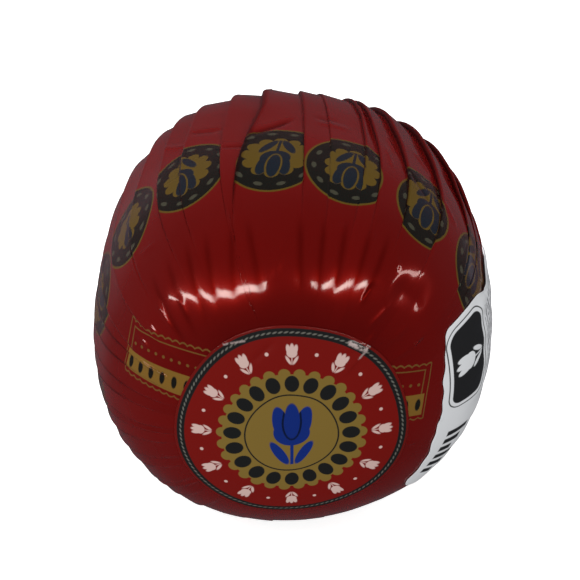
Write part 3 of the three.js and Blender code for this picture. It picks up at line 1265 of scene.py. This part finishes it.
@dataclass(frozen=True)
class RoundLabel:
    """The round front label, which lies a little off the front pole."""

    form: BallForm
    relief: Relief
    finish: RoundLabelPaper = RoundLabelPaper()
    radius: float = 39.1
    centre: tuple[float, float] = ROUND_LABEL_CENTRE
    lift: float = 0.22
    thickness: float = 0.08
    curled_edge: float = 2.5
    curl: float = 0.06
    curls: int = 9
    curl_start: float = 1.0
    cells: int = 170

    def beyond(self, arc: np.ndarray, degrees: np.ndarray) -> np.ndarray:
        """How far places of the film are outside the label's edge."""
        x, y = on_sheet(arc, degrees)
        return np.hypot(x - self.centre[0], y - self.centre[1]) - self.radius

    def build(self) -> bpy.types.Object:
        """Makes the label: a square grid drawn out to a disc.

        Returns:
            The piece.
        """
        line = np.linspace(-1, 1, self.cells + 1)
        u, v = np.meshgrid(line, line)
        x = self.radius * u * np.sqrt(1 - v * v / 2)
        y = self.radius * v * np.sqrt(1 - u * u / 2)
        arc = np.hypot(x + self.centre[0], y + self.centre[1])
        degrees = np.degrees(np.arctan2(y + self.centre[1], x + self.centre[0]))
        edge = smoothstep(np.hypot(x, y), self.radius - self.curled_edge, self.radius)
        curl = self.curl * edge * np.sin(np.arctan2(y, x) * self.curls + self.curl_start)
        points = self.form.surface(arc, degrees, self.lift + curl + self.relief.height_at(arc, degrees))
        grid = label_grid(points, np.stack([x, y], axis=-1), self.thickness)
        return finished_piece("round_front_label", grid, self.finish.material(), "front_label")


@dataclass(frozen=True)
class SideLabel:
    """The white label on the right side: four wavy edges and round corners, pressed over the pleats.

    Its edge waves are a height, a number of waves and a start. Its margins are those in front, behind, below
    and above, and each is where the film begins to be pressed and where it is pressed fully.
    """

    form: BallForm
    relief: Relief
    finish: WhiteLabelPaper = WhiteLabelPaper()
    front_arc: tuple[float, float] = (57.5, 55.2)
    back_arc: float = 114.0
    front_degrees: tuple[float, float] = (-47.0, 25.0)
    back_degrees: tuple[float, float] = (-41.0, 23.5)
    notch: tuple[float, float, float] = (88.0, 8.0, 3.6)
    bow: float = 5.0
    edge_waves: tuple[tuple[float, float, float], ...] = ((0.45, 9.0, 0.5), (0.3, 23.0, 0.0))
    corner: float = 0.12
    lifts: tuple[float, float] = (0.4, 0.65)
    lifted: tuple[float, float] = (57.0, 78.0)
    wrinkle: float = 0.16
    wrinkle_pitch: float = 9.0
    wrinkle_sway: float = 1.5
    sway_length: float = 9.0
    wrinkled: tuple[float, float] = (60.0, 80.0)
    thickness: float = 0.1
    margins: tuple[tuple[float, float], ...] = ((10.0, 3.0), (14.0, 3.0), (9.0, 3.0), (8.0, 3.0))
    cells: tuple[int, int] = (90, 120)

    def under(self, arc: np.ndarray, degrees: np.ndarray) -> np.ndarray:
        """How far places of the film are under the label.

        Args:
            arc: Distances along the film from the front pole.
            degrees: Angles round the film.

        Returns:
            Shares from 0 outside it to 1 well inside.
        """
        turn = (degrees + 180) % 360 - 180
        low, high = self.front_degrees
        inside = (arc - self.front_arc[0], self.back_arc - arc, turn - low, high - turn)
        return math.prod(smoothstep(by, -outer, -inner) for by, (outer, inner) in zip(inside, self.margins))

    def rounded(self, u: np.ndarray, v: np.ndarray) -> tuple[np.ndarray, np.ndarray]:
        """Draws a square's corners in, to quarter circles.

        Args:
            u: Places across the square, from -1 to 1.
            v: Places up it.

        Returns:
            The new places across and up.
        """
        across = np.maximum(np.abs(u) - (1 - self.corner), 0) / self.corner
        up = np.maximum(np.abs(v) - (1 - self.corner), 0) / self.corner
        new_across = across * np.sqrt(1 - up * up / 2)
        new_up = up * np.sqrt(1 - across * across / 2)
        shift = self.corner * (across - new_across) * np.sign(u)
        return u - shift, v - self.corner * (up - new_up) * np.sign(v)

    def build(self) -> bpy.types.Object:
        """Makes the label.

        Returns:
            The piece.
        """
        u, v = np.meshgrid(*(np.linspace(-1, 1, count + 1) for count in self.cells))
        u, v = self.rounded(u, v)
        back = (u + 1) / 2
        top = (v + 1) / 2
        waves = sum(height * np.sin(waves * v + start) for height, waves, start in self.edge_waves)
        arc = lerp(lerp(*self.front_arc, top) - self.bow * (1 - v * v) + waves, self.back_arc, back)
        low, high = (lerp(*ends, back) for ends in zip(self.front_degrees, self.back_degrees))
        notch_at, notch_width, notch_depth = self.notch
        high = high - notch_depth * np.exp(-((arc - notch_at) / notch_width) ** 2)
        degrees = lerp(low, high, top)
        sway = self.wrinkle_sway * np.sin(arc / self.sway_length)
        wave = np.sin(2 * math.pi * degrees / self.wrinkle_pitch + sway)
        wrinkle = self.wrinkle * wave * smoothstep(arc, *self.wrinkled)
        lift = lerp(*self.lifts, smoothstep(arc, *self.lifted)) + wrinkle
        points = self.form.surface(arc, degrees, lift + self.relief.height_at(arc, degrees))
        width = self.back_arc - self.front_arc[0]
        height = math.radians(self.front_degrees[1] - self.front_degrees[0]) * self.form.radius
        sheet = np.stack([(arc - self.front_arc[0] - width / 2), v * height / 2], axis=-1)
        grid = label_grid(points, sheet, self.thickness)
        return finished_piece("white_side_label", grid, self.finish.material(), "side_label")


@dataclass(frozen=True)
class Fold:
    """One pleat's edge, with the stations of the panel after it.

    The panel before it ends in the edge, which lies over the panel after it by the height of the step. The
    measures are the edge's angle at the back, its drift by the front, the step, where that starts along the
    film, its share in front, how far the edge rolls back, how dark its shadow is, how far the print after it
    is turned, where its dark line starts, and the columns of the panel after it.
    """

    at: float
    drift: float
    step: float
    start: float
    front: float = 0.25
    roll: float = 1.0
    shadow: float = 0.15
    print_shift: float = 0.0
    line_start: float = 68.0
    panel: int = 17


MAIN_FOLDS = (
    Fold(38.5, -6, 1.8, 94, 0.4, 1.0, 0.3, -5.5),
    Fold(47.8, -1.5, 2.0, 76, 0.5, 1.1, 0.35, -3.4),
    Fold(58.5, -0.9, 1.9, 76, 0.5, 1.0, 0.3, -2.8),
    Fold(65.7, 0.6, 1.3, 82, 0.5, 1.0, 0.3, -1.7),
    Fold(68.6, 2.6, 1.3, 94, 0.5, 1.0, 0.3, -2.4),
    Fold(79, 1, 0.5, 110, print_shift=-3.0),
    Fold(86, 1.3, 1.2, 84, 0.25, 1.0, 0.3),
    Fold(98.5, 8.2, 2.2, 72, 0.4, 2.2, 0.7),
    Fold(108.3, 1.2, 1.4, 74, 0.3, print_shift=1.7),
    Fold(119.8, 1.5, 1.4, 72, 0.3, print_shift=1.7),
    Fold(127.8, 1.0, 1.7, 70, 0.4, 1.0, 0.3, 1.4),
    Fold(136, 6.5, 1.8, 84, print_shift=1.4),
    Fold(148.5, 4.3, 1.7, 62, 0.5, print_shift=1.4),
    Fold(157.5, 5, 1.4, 64, 0.5, print_shift=4.0),
)
SIDE_FOLD_COUNT = 13
OTHER_FOLD_COUNT = 16
FOLD_COUNT = len(MAIN_FOLDS) + SIDE_FOLD_COUNT + OTHER_FOLD_COUNT


@dataclass(frozen=True)
class Spread:
    """A measure that differs from fold to fold: where it begins, its rise for each fold, and its scatter."""

    first: float
    rise: float
    reach: float
    salt: float

    def at(self, i: int) -> float:
        """The measure of one fold."""
        return self.first + self.rise * i + self.reach * scatter(i, self.salt)


# The place, drift, step and start of the folds on the left side, and of the others
SIDE_SPREADS = (
    Spread(170.0, 5.65, 1.2, 0.4),
    Spread(-1.5, 0.0, 2.0, 0.8),
    Spread(1.0, 0.0, 0.3, 0.6),
    Spread(48.0, 0.0, 4.0, 0.3),
)
OTHER_SPREADS = (
    Spread(244.0, 9.6, 1.8, 0.0),
    Spread(0.0, 0.0, 2.5, 0.37),
    Spread(1.5, 0.0, 0.5, 0.71),
    Spread(72.0, 0.0, 12.0, 0.19),
)


def all_folds() -> tuple[Fold, ...]:
    """Every fold round the ball, in rising order: those that show, a close row on the left, then the others.

    Returns:
        The folds.
    """
    sides = []
    for i in range(SIDE_FOLD_COUNT):
        shift = 4.0 if i < 2 else 0.0
        measures = [spread.at(i) for spread in SIDE_SPREADS]
        sides.append(
            Fold(*measures, front=0.6, roll=1.6, shadow=0.8, print_shift=shift, line_start=55.0, panel=5)
        )
    others = []
    for i in range(OTHER_FOLD_COUNT):
        shift = -8.0 if i > 12 else 0.0
        measures = [spread.at(i) for spread in OTHER_SPREADS]
        others.append(Fold(*measures, front=0.45, print_shift=shift, panel=4))
    return (*MAIN_FOLDS, *sides, *others)


@dataclass(frozen=True)
class FoldProfile:
    """The section across a fold, by stations from the panel before it to the panel after it.

    A fold begins as a crease, near the front. The offsets are in millimetres where there is full room, the
    heights are shares of the crease's depth, and the fold's shares are those of its step. The blend goes from
    the panel before to the panel after. The gaps are the painted shade in it, seen from either side, and the
    last row holds shares of the fold's painted shadow.
    """

    crease_offsets: tuple[float, ...] = (-1.1, -0.5, -0.18, 0.0, 0.14, 0.32, 0.6, 1.2)
    crease_heights: tuple[float, ...] = (0.0, -0.08, -0.5, -1.0, -0.8, -0.05, 0.3, 0.05)
    fold_offsets: tuple[float, ...] = (-1.0, -0.32, -0.06, 0.08, -0.02, -0.5, 0.3, 0.9)
    fold_shares: tuple[float, ...] = (1.0, 0.98, 0.85, 0.5, 0.14, 0.0, -0.04, 0.0)
    blend: tuple[float, ...] = (0.0, 0.0, 0.0, 0.25, 0.5, 0.75, 1.0, 1.0)
    gaps_towards: tuple[float, ...] = (0.0, 0.12, 0.55, 1.0, 1.0, 1.0, 0.25, 0.0)
    gaps_away: tuple[float, ...] = (0.0, 0.0, 0.15, 0.7, 1.0, 1.0, 0.7, 0.0)
    shadow_shares: tuple[float, ...] = (0.0, 1.0, 1.3, 1.4, 1.4, 1.4, 0.5, 0.0)

    def row(self, name: str) -> np.ndarray:
        """One of the rows of stations."""
        return np.array(getattr(self, name))


@dataclass
class FilmWrap:
    """The round sheet of film: smooth in front, creased round the label and knife-pleated to the back.

    A pair of values says where something begins and where it is full, but for a fold's room, which is a share
    of its offsets and the rise of that share with the step.
    """

    form: BallForm
    relief: Relief
    round_label: RoundLabel
    side_label: SideLabel
    finish: PrintedFilm = field(default_factory=PrintedFilm)
    folds: tuple[Fold, ...] = field(default_factory=all_folds)
    profile: FoldProfile = FoldProfile()
    ring_zones: tuple[tuple[float, float], ...] = ((38, 2.4), (112, 1.0), (138, 1.3), (150, 2.0), (226, 4.0))
    last_rings: int = 3
    back_shoulder: float = 145.0
    front_shoulder: float = 80.0
    most_drift: float = 1.3
    run_in: float = 34.0
    edge_share: float = 0.45
    rise: tuple[float, float] = (84.0, 146.0)
    hidden_print: tuple[float, float] = (60.0, 72.0)
    creased: tuple[float, float] = (58.0, 80.0)
    beside_label: tuple[float, float] = (2.5, 11.0)
    tucked: tuple[float, float] = (0.08, 0.5)
    seen_from_behind: tuple[float, float] = (95.0, 125.0)
    line_fade: float = 16.0
    crease_depth: float = 0.26
    full_room: float = 5.0
    room: tuple[float, float] = (0.55, 0.35)
    bulge: float = 0.08
    chord_share: float = 0.8
    chord_from: float = 20.0
    pressed: float = 0.2
    full_fold_radius: float = 62.0
    knot_radius: float = 10.0
    knot_edge: tuple[float, float] = (-2.0, 1.0)
    knot_height: float = 1.6
    gathered_end: tuple[float, float] = (2.0, 14.0)
    panel_margin: float = 0.07
    owner: np.ndarray = field(init=False)
    station: np.ndarray = field(init=False)
    inside: np.ndarray = field(init=False)

    def __post_init__(self) -> None:
        """Shares out the columns among the folds and their panels."""
        stations = len(self.profile.fold_offsets)
        counts = stations + self.each("panel")
        places = np.concatenate([np.arange(count) for count in counts])
        self.owner = np.repeat(np.arange(len(counts)), counts)
        self.station = np.minimum(places, stations - 1)
        self.inside = np.maximum(places - stations + 1, 0) / (counts[self.owner] - stations + 1)

    def each(self, name: str) -> np.ndarray:
        """One of the folds' measures, for every fold."""
        return np.array([getattr(fold, name) for fold in self.folds])

    def angles(self, arc: float) -> np.ndarray:
        """The folds' angles at a distance from the front pole."""
        forward = (self.back_shoulder - arc) / (self.back_shoulder - self.front_shoulder)
        return self.each("at") + self.each("drift") * min(max(forward, 0.0), self.most_drift)

    def rings(self) -> np.ndarray:
        """Shares out the rings, closer together where the film is creased.

        Returns:
            Their distances from the front pole.
        """
        arcs = [np.array([0.0])]
        for end, spacing in self.ring_zones:
            start = arcs[-1][-1]
            count = max(1, round((end - start) / spacing))
            arcs.append(np.linspace(start, end, count + 1)[1:])
        arcs.append(np.linspace(arcs[-1][-1], self.form.length, self.last_rings + 1)[1:])
        return np.concatenate(arcs)

    def steps(self, arc: float, pressed: np.ndarray) -> tuple[np.ndarray, np.ndarray]:
        """How high the folds stand at one ring.

        Args:
            arc: The ring's distance from the front pole.
            pressed: The share of its relief that each fold keeps under the white label.

        Returns:
            The height of each fold's step, and how far it leans over from 0 to 1.
        """
        start = self.each("start")
        lean = smoothstep(arc, start - self.run_in / 2, start + self.run_in)
        radius = float(self.form.radius_at(arc))
        fade = min(1.0, radius / self.full_fold_radius) if arc > self.back_shoulder else 1.0
        grown = lerp(self.each("front"), 1, smoothstep(arc, *self.rise))
        return self.each("step") * lean * grown * pressed * fade, lean

    def on_flat_sheet(
        self,
        arc: float,
        degrees: np.ndarray,
        at: np.ndarray,
        pitch: np.ndarray,
    ) -> tuple[np.ndarray, np.ndarray]:
        """Finds where one ring's columns lie on the flat sheet, whose print is partly hidden in the folds.

        Args:
            arc: The ring's distance from the front pole.
            degrees: The columns' angles.
            at: The folds' angles.
            pitch: The angle from each fold to the next.

        Returns:
            The columns' angles on the flat sheet, as part of the panel before and of the panel after.
        """
        own = self.owner
        middle = at + pitch / 2
        front = self.angles(0.0)
        front_middle = front + (following(front) - front) / 2
        front_middle = front_middle + self.each("print_shift") * smoothstep(arc, *self.hidden_print)
        reach = self.form.true_arc(np.full_like(degrees, arc), degrees)
        narrowing = self.form.radius_at(reach) / np.maximum(reach, LEAST_REACH)
        after = front_middle[own] + (degrees - middle[own]) * narrowing
        earlier_front = np.append(front_middle[-1] - 360, front_middle[:-1])
        earlier = np.append(middle[-1] - 360, middle[:-1])
        before = earlier_front[own] + (degrees - earlier[own]) * narrowing
        return before, after

    def darkness(self, arc: float, at: np.ndarray, tuck: np.ndarray) -> np.ndarray:
        """How much painted shade one ring gets in the folds' gaps.

        Args:
            arc: The ring's distance from the front pole.
            at: The folds' angles.
            tuck: How far each fold is tucked under.

        Returns:
            The painted shade of each column, from 0 to 1.
        """
        ends = (self.profile.row(name) for name in ("gaps_towards", "gaps_away"))
        gaps = lerp(*ends, smoothstep(at, *self.seen_from_behind)[:, None])
        gaps = np.maximum(gaps, self.each("shadow")[:, None] * self.profile.row("shadow_shares"))
        lines = self.each("line_start")
        gaps = gaps * (tuck * smoothstep(arc, lines, lines + self.line_fade))[:, None]
        return np.where(self.inside > 0, 0, gaps[self.owner, self.station])

    def ring(self, arc: float) -> tuple[np.ndarray, ...]:
        """Works out one ring of the film.

        Args:
            arc: The ring's distance from the front pole.

        Returns:
            The angle round the film, the height, the angle on the flat sheet, the place among the panels
            and the painted shade in the folds' gaps, of each column.
        """
        at = self.angles(arc)
        pitch = following(at) - at
        before = np.roll(pitch, 1)
        radius = max(float(self.form.radius_at(arc)), LEAST_RADIUS)
        per_degree = radius * math.pi / 180
        pressed = lerp(1, self.pressed, self.side_label.under(arc, at))
        step, lean = self.steps(arc, pressed)
        gather = smoothstep(self.round_label.beyond(arc, at), *self.beside_label)
        tuck = smoothstep(lean, *self.tucked)
        rising = smoothstep(arc, *self.creased)

        room = np.clip(np.minimum(pitch, before) * per_degree / self.full_room, 0, 1)
        room = lerp(1.0, room * (self.room[0] + self.room[1] * step), tuck)[:, None]
        crease, fold = (self.profile.row(name) for name in ("crease_offsets", "fold_offsets"))
        offsets = lerp(crease, fold, tuck[:, None]) * room
        roll = lerp(1.0, self.each("roll")[:, None], tuck[:, None])
        offsets = np.where(offsets < 0, offsets * roll, offsets)
        stations = offsets.shape[1]
        even = np.arange(stations) - (stations - 1) / 2
        even_degrees = even / (2 * stations) * np.where(even < 0, before[:, None], pitch[:, None])
        at_fold = at[:, None] + lerp(even_degrees, offsets / per_degree, gather[:, None])
        foot = -(1 - self.edge_share) * step
        edge = self.edge_share * step
        depth = self.crease_depth * gather * (1 - tuck) * pressed * rising
        fold_height = lerp(foot[:, None], edge[:, None], self.profile.row("fold_shares"))
        fold_height = fold_height + depth[:, None] * self.profile.row("crease_heights")

        own = self.owner
        is_panel = self.inside > 0
        across_panel = lerp(at_fold[own, -1], following(at_fold[:, 0])[own], self.inside)
        degrees = np.where(is_panel, across_panel, at_fold[own, self.station])
        slope = lerp(foot[own], np.roll(edge, -1)[own], self.inside)
        height = np.where(is_panel, slope, fold_height[own, self.station])
        along = (degrees - at[own]) * per_degree
        width = pitch[own] * per_degree
        hump = np.clip(along * (width - along), 0, None)
        swell = 4 * self.bulge * hump / width ** 2 * (1 - lean[own])
        chord = self.chord_share * hump / (2 * radius) * min(1.0, arc / self.chord_from)
        height = height + (gather * pressed * rising)[own] * (swell - chord)

        sheet = lerp(*self.on_flat_sheet(arc, degrees, at, pitch), self.profile.row("blend")[self.station])
        in_panel = self.panel_margin + (1 - 2 * self.panel_margin) * self.inside
        in_fold = (self.station - (stations - 1) / 2) * self.panel_margin / (stations - 1) * 2
        around = own + 1 + np.where(is_panel, in_panel, in_fold)
        return degrees, height, sheet, around, self.darkness(arc, at, tuck)

    def build(self) -> bpy.types.Object:
        """Makes the film's mesh, closed round the ball and at both poles.

        Returns:
            The piece.
        """
        arcs = self.rings()
        rows = [self.ring(float(arc)) for arc in arcs]
        turns = (360, 0, 360, FOLD_COUNT, 0)
        closed = [np.array([row[i] for row in rows]) for i in range(len(turns))]
        closed = [np.concatenate([part, part[:, :1] + turn], axis=1) for part, turn in zip(closed, turns)]
        degrees, height, sheet, around, gap = closed
        arc = np.repeat(arcs[:, None], degrees.shape[1], axis=1)
        left = self.form.length - arc
        knot = smoothstep(self.knot_radius - left, *self.knot_edge)
        kept = smoothstep(left, *self.gathered_end)
        height = height * kept + knot * self.knot_height + self.relief.height_at(arc, degrees) * kept
        height[0] = height[0, 0]
        points = self.form.surface(arc, degrees, height)
        points[0] = points[0, 0]
        points[-1] = points[-1, 0]
        flat = np.stack(on_sheet(self.form.true_arc(arc, degrees), sheet), axis=-1)
        # painted shade for the folds' gaps and the crease lines, carried in the Gap map
        dark = np.maximum(gap * kept, self.relief.shade_at(arc, degrees))
        maps = {
            "Print": 0.5 + flat / SHEET_SPAN,
            "Along": np.stack([around, arc / ALONG_SPAN], axis=-1),
            "Gap": np.stack([dark, dark], axis=-1),
        }
        grid = shaped_grid(points, maps)
        return finished_piece("red_film_wrap", grid, self.finish.material(), "wrapped_ball")


@dataclass(frozen=True)
class Lamp:
    """One rectangular light, aimed at the ball."""

    name: str
    place: tuple[float, float, float]
    size: tuple[float, float]
    radiance: float
    colour: str
    tilt: float = 0.0

    def turned(self) -> Matrix:
        """Aims the light.

        Returns:
            Its turn: its back away from the ball, or from the ball's axis if it is wide, and its long side
            level but for its tilt.
        """
        tilt = math.radians(self.tilt)
        wide = self.size[0] > self.size[1]
        across = Vector((math.cos(tilt), 0, math.sin(tilt))) if wide else Vector((0, 0, 1))
        back = (Vector((0, *self.place[1:])) if wide else Vector(self.place)).normalized()
        side = (across - back * across.dot(back)).normalized()
        return Matrix((side, back.cross(side), back)).transposed()


@dataclass(frozen=True)
class PaleSide:
    """A soft pale patch of the room that the gloss mirrors."""

    direction: tuple[float, float, float]
    edge: float
    strength: float


@dataclass
class Studio:
    """The floor, lights and camera.

    Soft even light, which leans a little, reaches the matt ground. The gloss mirrors a dim room, pale patches
    and the lamps.
    """

    form: BallForm
    camera_distance: float = 560.0
    camera_azimuth: float = -1.30
    camera_elevation: float = 29.862
    aim_right: float = -0.2207
    aim_up: float = 5.5908
    focal_pixels: float = 1562.08
    image_pixels: int = 580
    sensor: float = 36.0
    clip_start: float = 10.0
    floor_half: float = 4000.0
    floor_colour: str = "F2F2F2"
    floor_roughness: float = 0.8
    floor_glow: float = 0.8
    light_level: float = 0.88
    light_lean: tuple[float, float, float] = (-0.25, 0.05, 0.2)
    room_colour: str = "F0F2FF"
    room_depth: tuple[float, float] = (-0.4, 0.9)
    room_levels: tuple[float, float] = (0.02, 0.067)
    pale_sides: tuple[PaleSide, ...] = (
        PaleSide((-0.57, 0.79, -0.22), 0.88, 0.04),
        PaleSide((0.73, 0.66, -0.16), 0.99, 0.25),
    )
    lamps: tuple[Lamp, ...] = (
        Lamp("left_strip_light", (-1326, -860, 490), (2348, 80), 19.5, "FFF8F0", -2.6),
        Lamp("right_strip_light", (385, -860, 555), (490, 66), 20.0, "FFF8F0", 17.0),
        Lamp("right_window", (900, -420, 420), (60, 330), 11.0, "FFE8E0"),
    )

    def light(self, lamp: Lamp) -> None:
        """Adds one light.

        Args:
            lamp: Where it stands and how strong it is.
        """
        data = bpy.data.lights.new(lamp.name, "AREA")
        data.shape = "RECTANGLE"
        data.size, data.size_y = (side * MM for side in lamp.size)
        data.energy = lamp.radiance * math.pi * data.size * data.size_y
        data.color = linear(lamp.colour)[:3]
        light = placed(lamp.name, data)
        place = (self.form.centre + Vector(lamp.place)) * MM
        light.matrix_world = Matrix.Translation(place) @ lamp.turned().to_4x4()
        light.visible_camera = False
        light.visible_diffuse = False

    def world(self) -> None:
        """Makes the soft even light, a dim room for the gloss to mirror and a white background."""
        world = bpy.data.worlds.new("studio_air")
        bpy.context.scene.world = world
        world.use_nodes = True
        world.cycles.sampling_method = "NONE"
        tree = world.node_tree
        tree.nodes.clear()
        way = add_node(tree, "ShaderNodeTexCoord").outputs["Generated"]
        pair = {0: way, 1: self.light_lean}
        lean = add_node(tree, "ShaderNodeVectorMath", pair, operation="DOT_PRODUCT").outputs["Value"]
        soft = add_node(tree, "ShaderNodeMath", {0: lean, 1: self.light_level}, operation="ADD")
        depth = add_node(tree, "ShaderNodeSeparateXYZ", {0: way}).outputs["Y"]
        ends = dict(zip(("From Min", "From Max", "To Min", "To Max"), self.room_depth + self.room_levels))
        room = add_node(tree, "ShaderNodeMapRange", {"Value": depth} | ends)
        for side in self.pale_sides:
            pair = {0: way, 1: side.direction}
            near = add_node(tree, "ShaderNodeVectorMath", pair, operation="DOT_PRODUCT").outputs["Value"]
            inputs = {"Value": near, "From Min": side.edge, "To Max": side.strength}
            pale = add_node(tree, "ShaderNodeMapRange", inputs)
            room = add_node(tree, "ShaderNodeMath", {0: room, 1: pale}, operation="ADD")
        light, mirrored, paper = (
            add_node(tree, "ShaderNodeBackground", {"Color": linear(colour), "Strength": strength})
            for colour, strength in ((WHITE, soft), (self.room_colour, room), (WHITE, 1.0))
        )
        rays = add_node(tree, "ShaderNodeLightPath").outputs
        lit = add_node(tree, "ShaderNodeMixShader", {0: rays["Is Diffuse Ray"], 1: mirrored, 2: light})
        air = add_node(tree, "ShaderNodeMixShader", {0: rays["Is Camera Ray"], 1: lit, 2: paper})
        add_node(tree, "ShaderNodeOutputWorld", {"Surface": air})

    def floor(self) -> None:
        """Lays a pale floor that glows a little, so it stays white round the ball's soft shadow."""
        grid = bmesh.new()
        bmesh.ops.create_grid(grid, x_segments=1, y_segments=1, size=self.floor_half * MM)
        mesh = bpy.data.meshes.new("pale_floor")
        grid.to_mesh(mesh)
        grid.free()
        material = empty_material("white_acrylic_sheet")
        inputs = {
            "Base Color": linear(self.floor_colour),
            "Roughness": self.floor_roughness,
            "Emission Color": linear(WHITE),
            "Emission Strength": self.floor_glow,
        }
        surface = add_node(material.node_tree, "ShaderNodeBsdfPrincipled", inputs)
        add_node(material.node_tree, "ShaderNodeOutputMaterial", {"Surface": surface})
        mesh.materials.append(material)
        floor = placed("pale_floor", mesh)
        floor.visible_diffuse = False
        floor.visible_glossy = False
        floor.visible_shadow = False

    def camera(self) -> None:
        """Places the camera at the photograph's viewing angle and distance."""
        azimuth = math.radians(self.camera_azimuth)
        elevation = math.radians(self.camera_elevation)
        level = math.cos(elevation)
        back = Vector((math.sin(azimuth) * level, -math.cos(azimuth) * level, math.sin(elevation)))
        right = Vector((math.cos(azimuth), math.sin(azimuth), 0))
        up = back.cross(right)
        place = self.form.centre + right * self.aim_right + up * self.aim_up + back * self.camera_distance
        data = bpy.data.cameras.new("camera")
        data.sensor_width = self.sensor
        data.lens = self.sensor * self.focal_pixels / self.image_pixels
        data.clip_start = self.clip_start * MM
        camera = placed("camera", data)
        turn = Matrix((right, up, back)).transposed()
        camera.matrix_world = Matrix.Translation(place * MM) @ turn.to_4x4()
        bpy.context.scene.camera = camera

    def build(self) -> None:
        """Sets up everything that isn't the ball."""
        self.world()
        self.floor()
        for lamp in self.lamps:
            self.light(lamp)
        self.camera()
        bpy.context.scene.view_settings.view_transform = "Standard"
        LOG.info("studio: %d lights", len(self.lamps))


def main() -> None:
    """Builds the ball's film and labels, and the studio round them."""
    logging.basicConfig(level=logging.INFO, format="%(name)s %(message)s")
    form = BallForm()
    relief = Relief(form)
    round_label = RoundLabel(form, relief)
    side_label = SideLabel(form, relief)
    FilmWrap(form, relief, round_label, side_label).build()
    round_label.build()
    side_label.build()
    Studio(form).build()


if __name__ == "__main__":
    main()
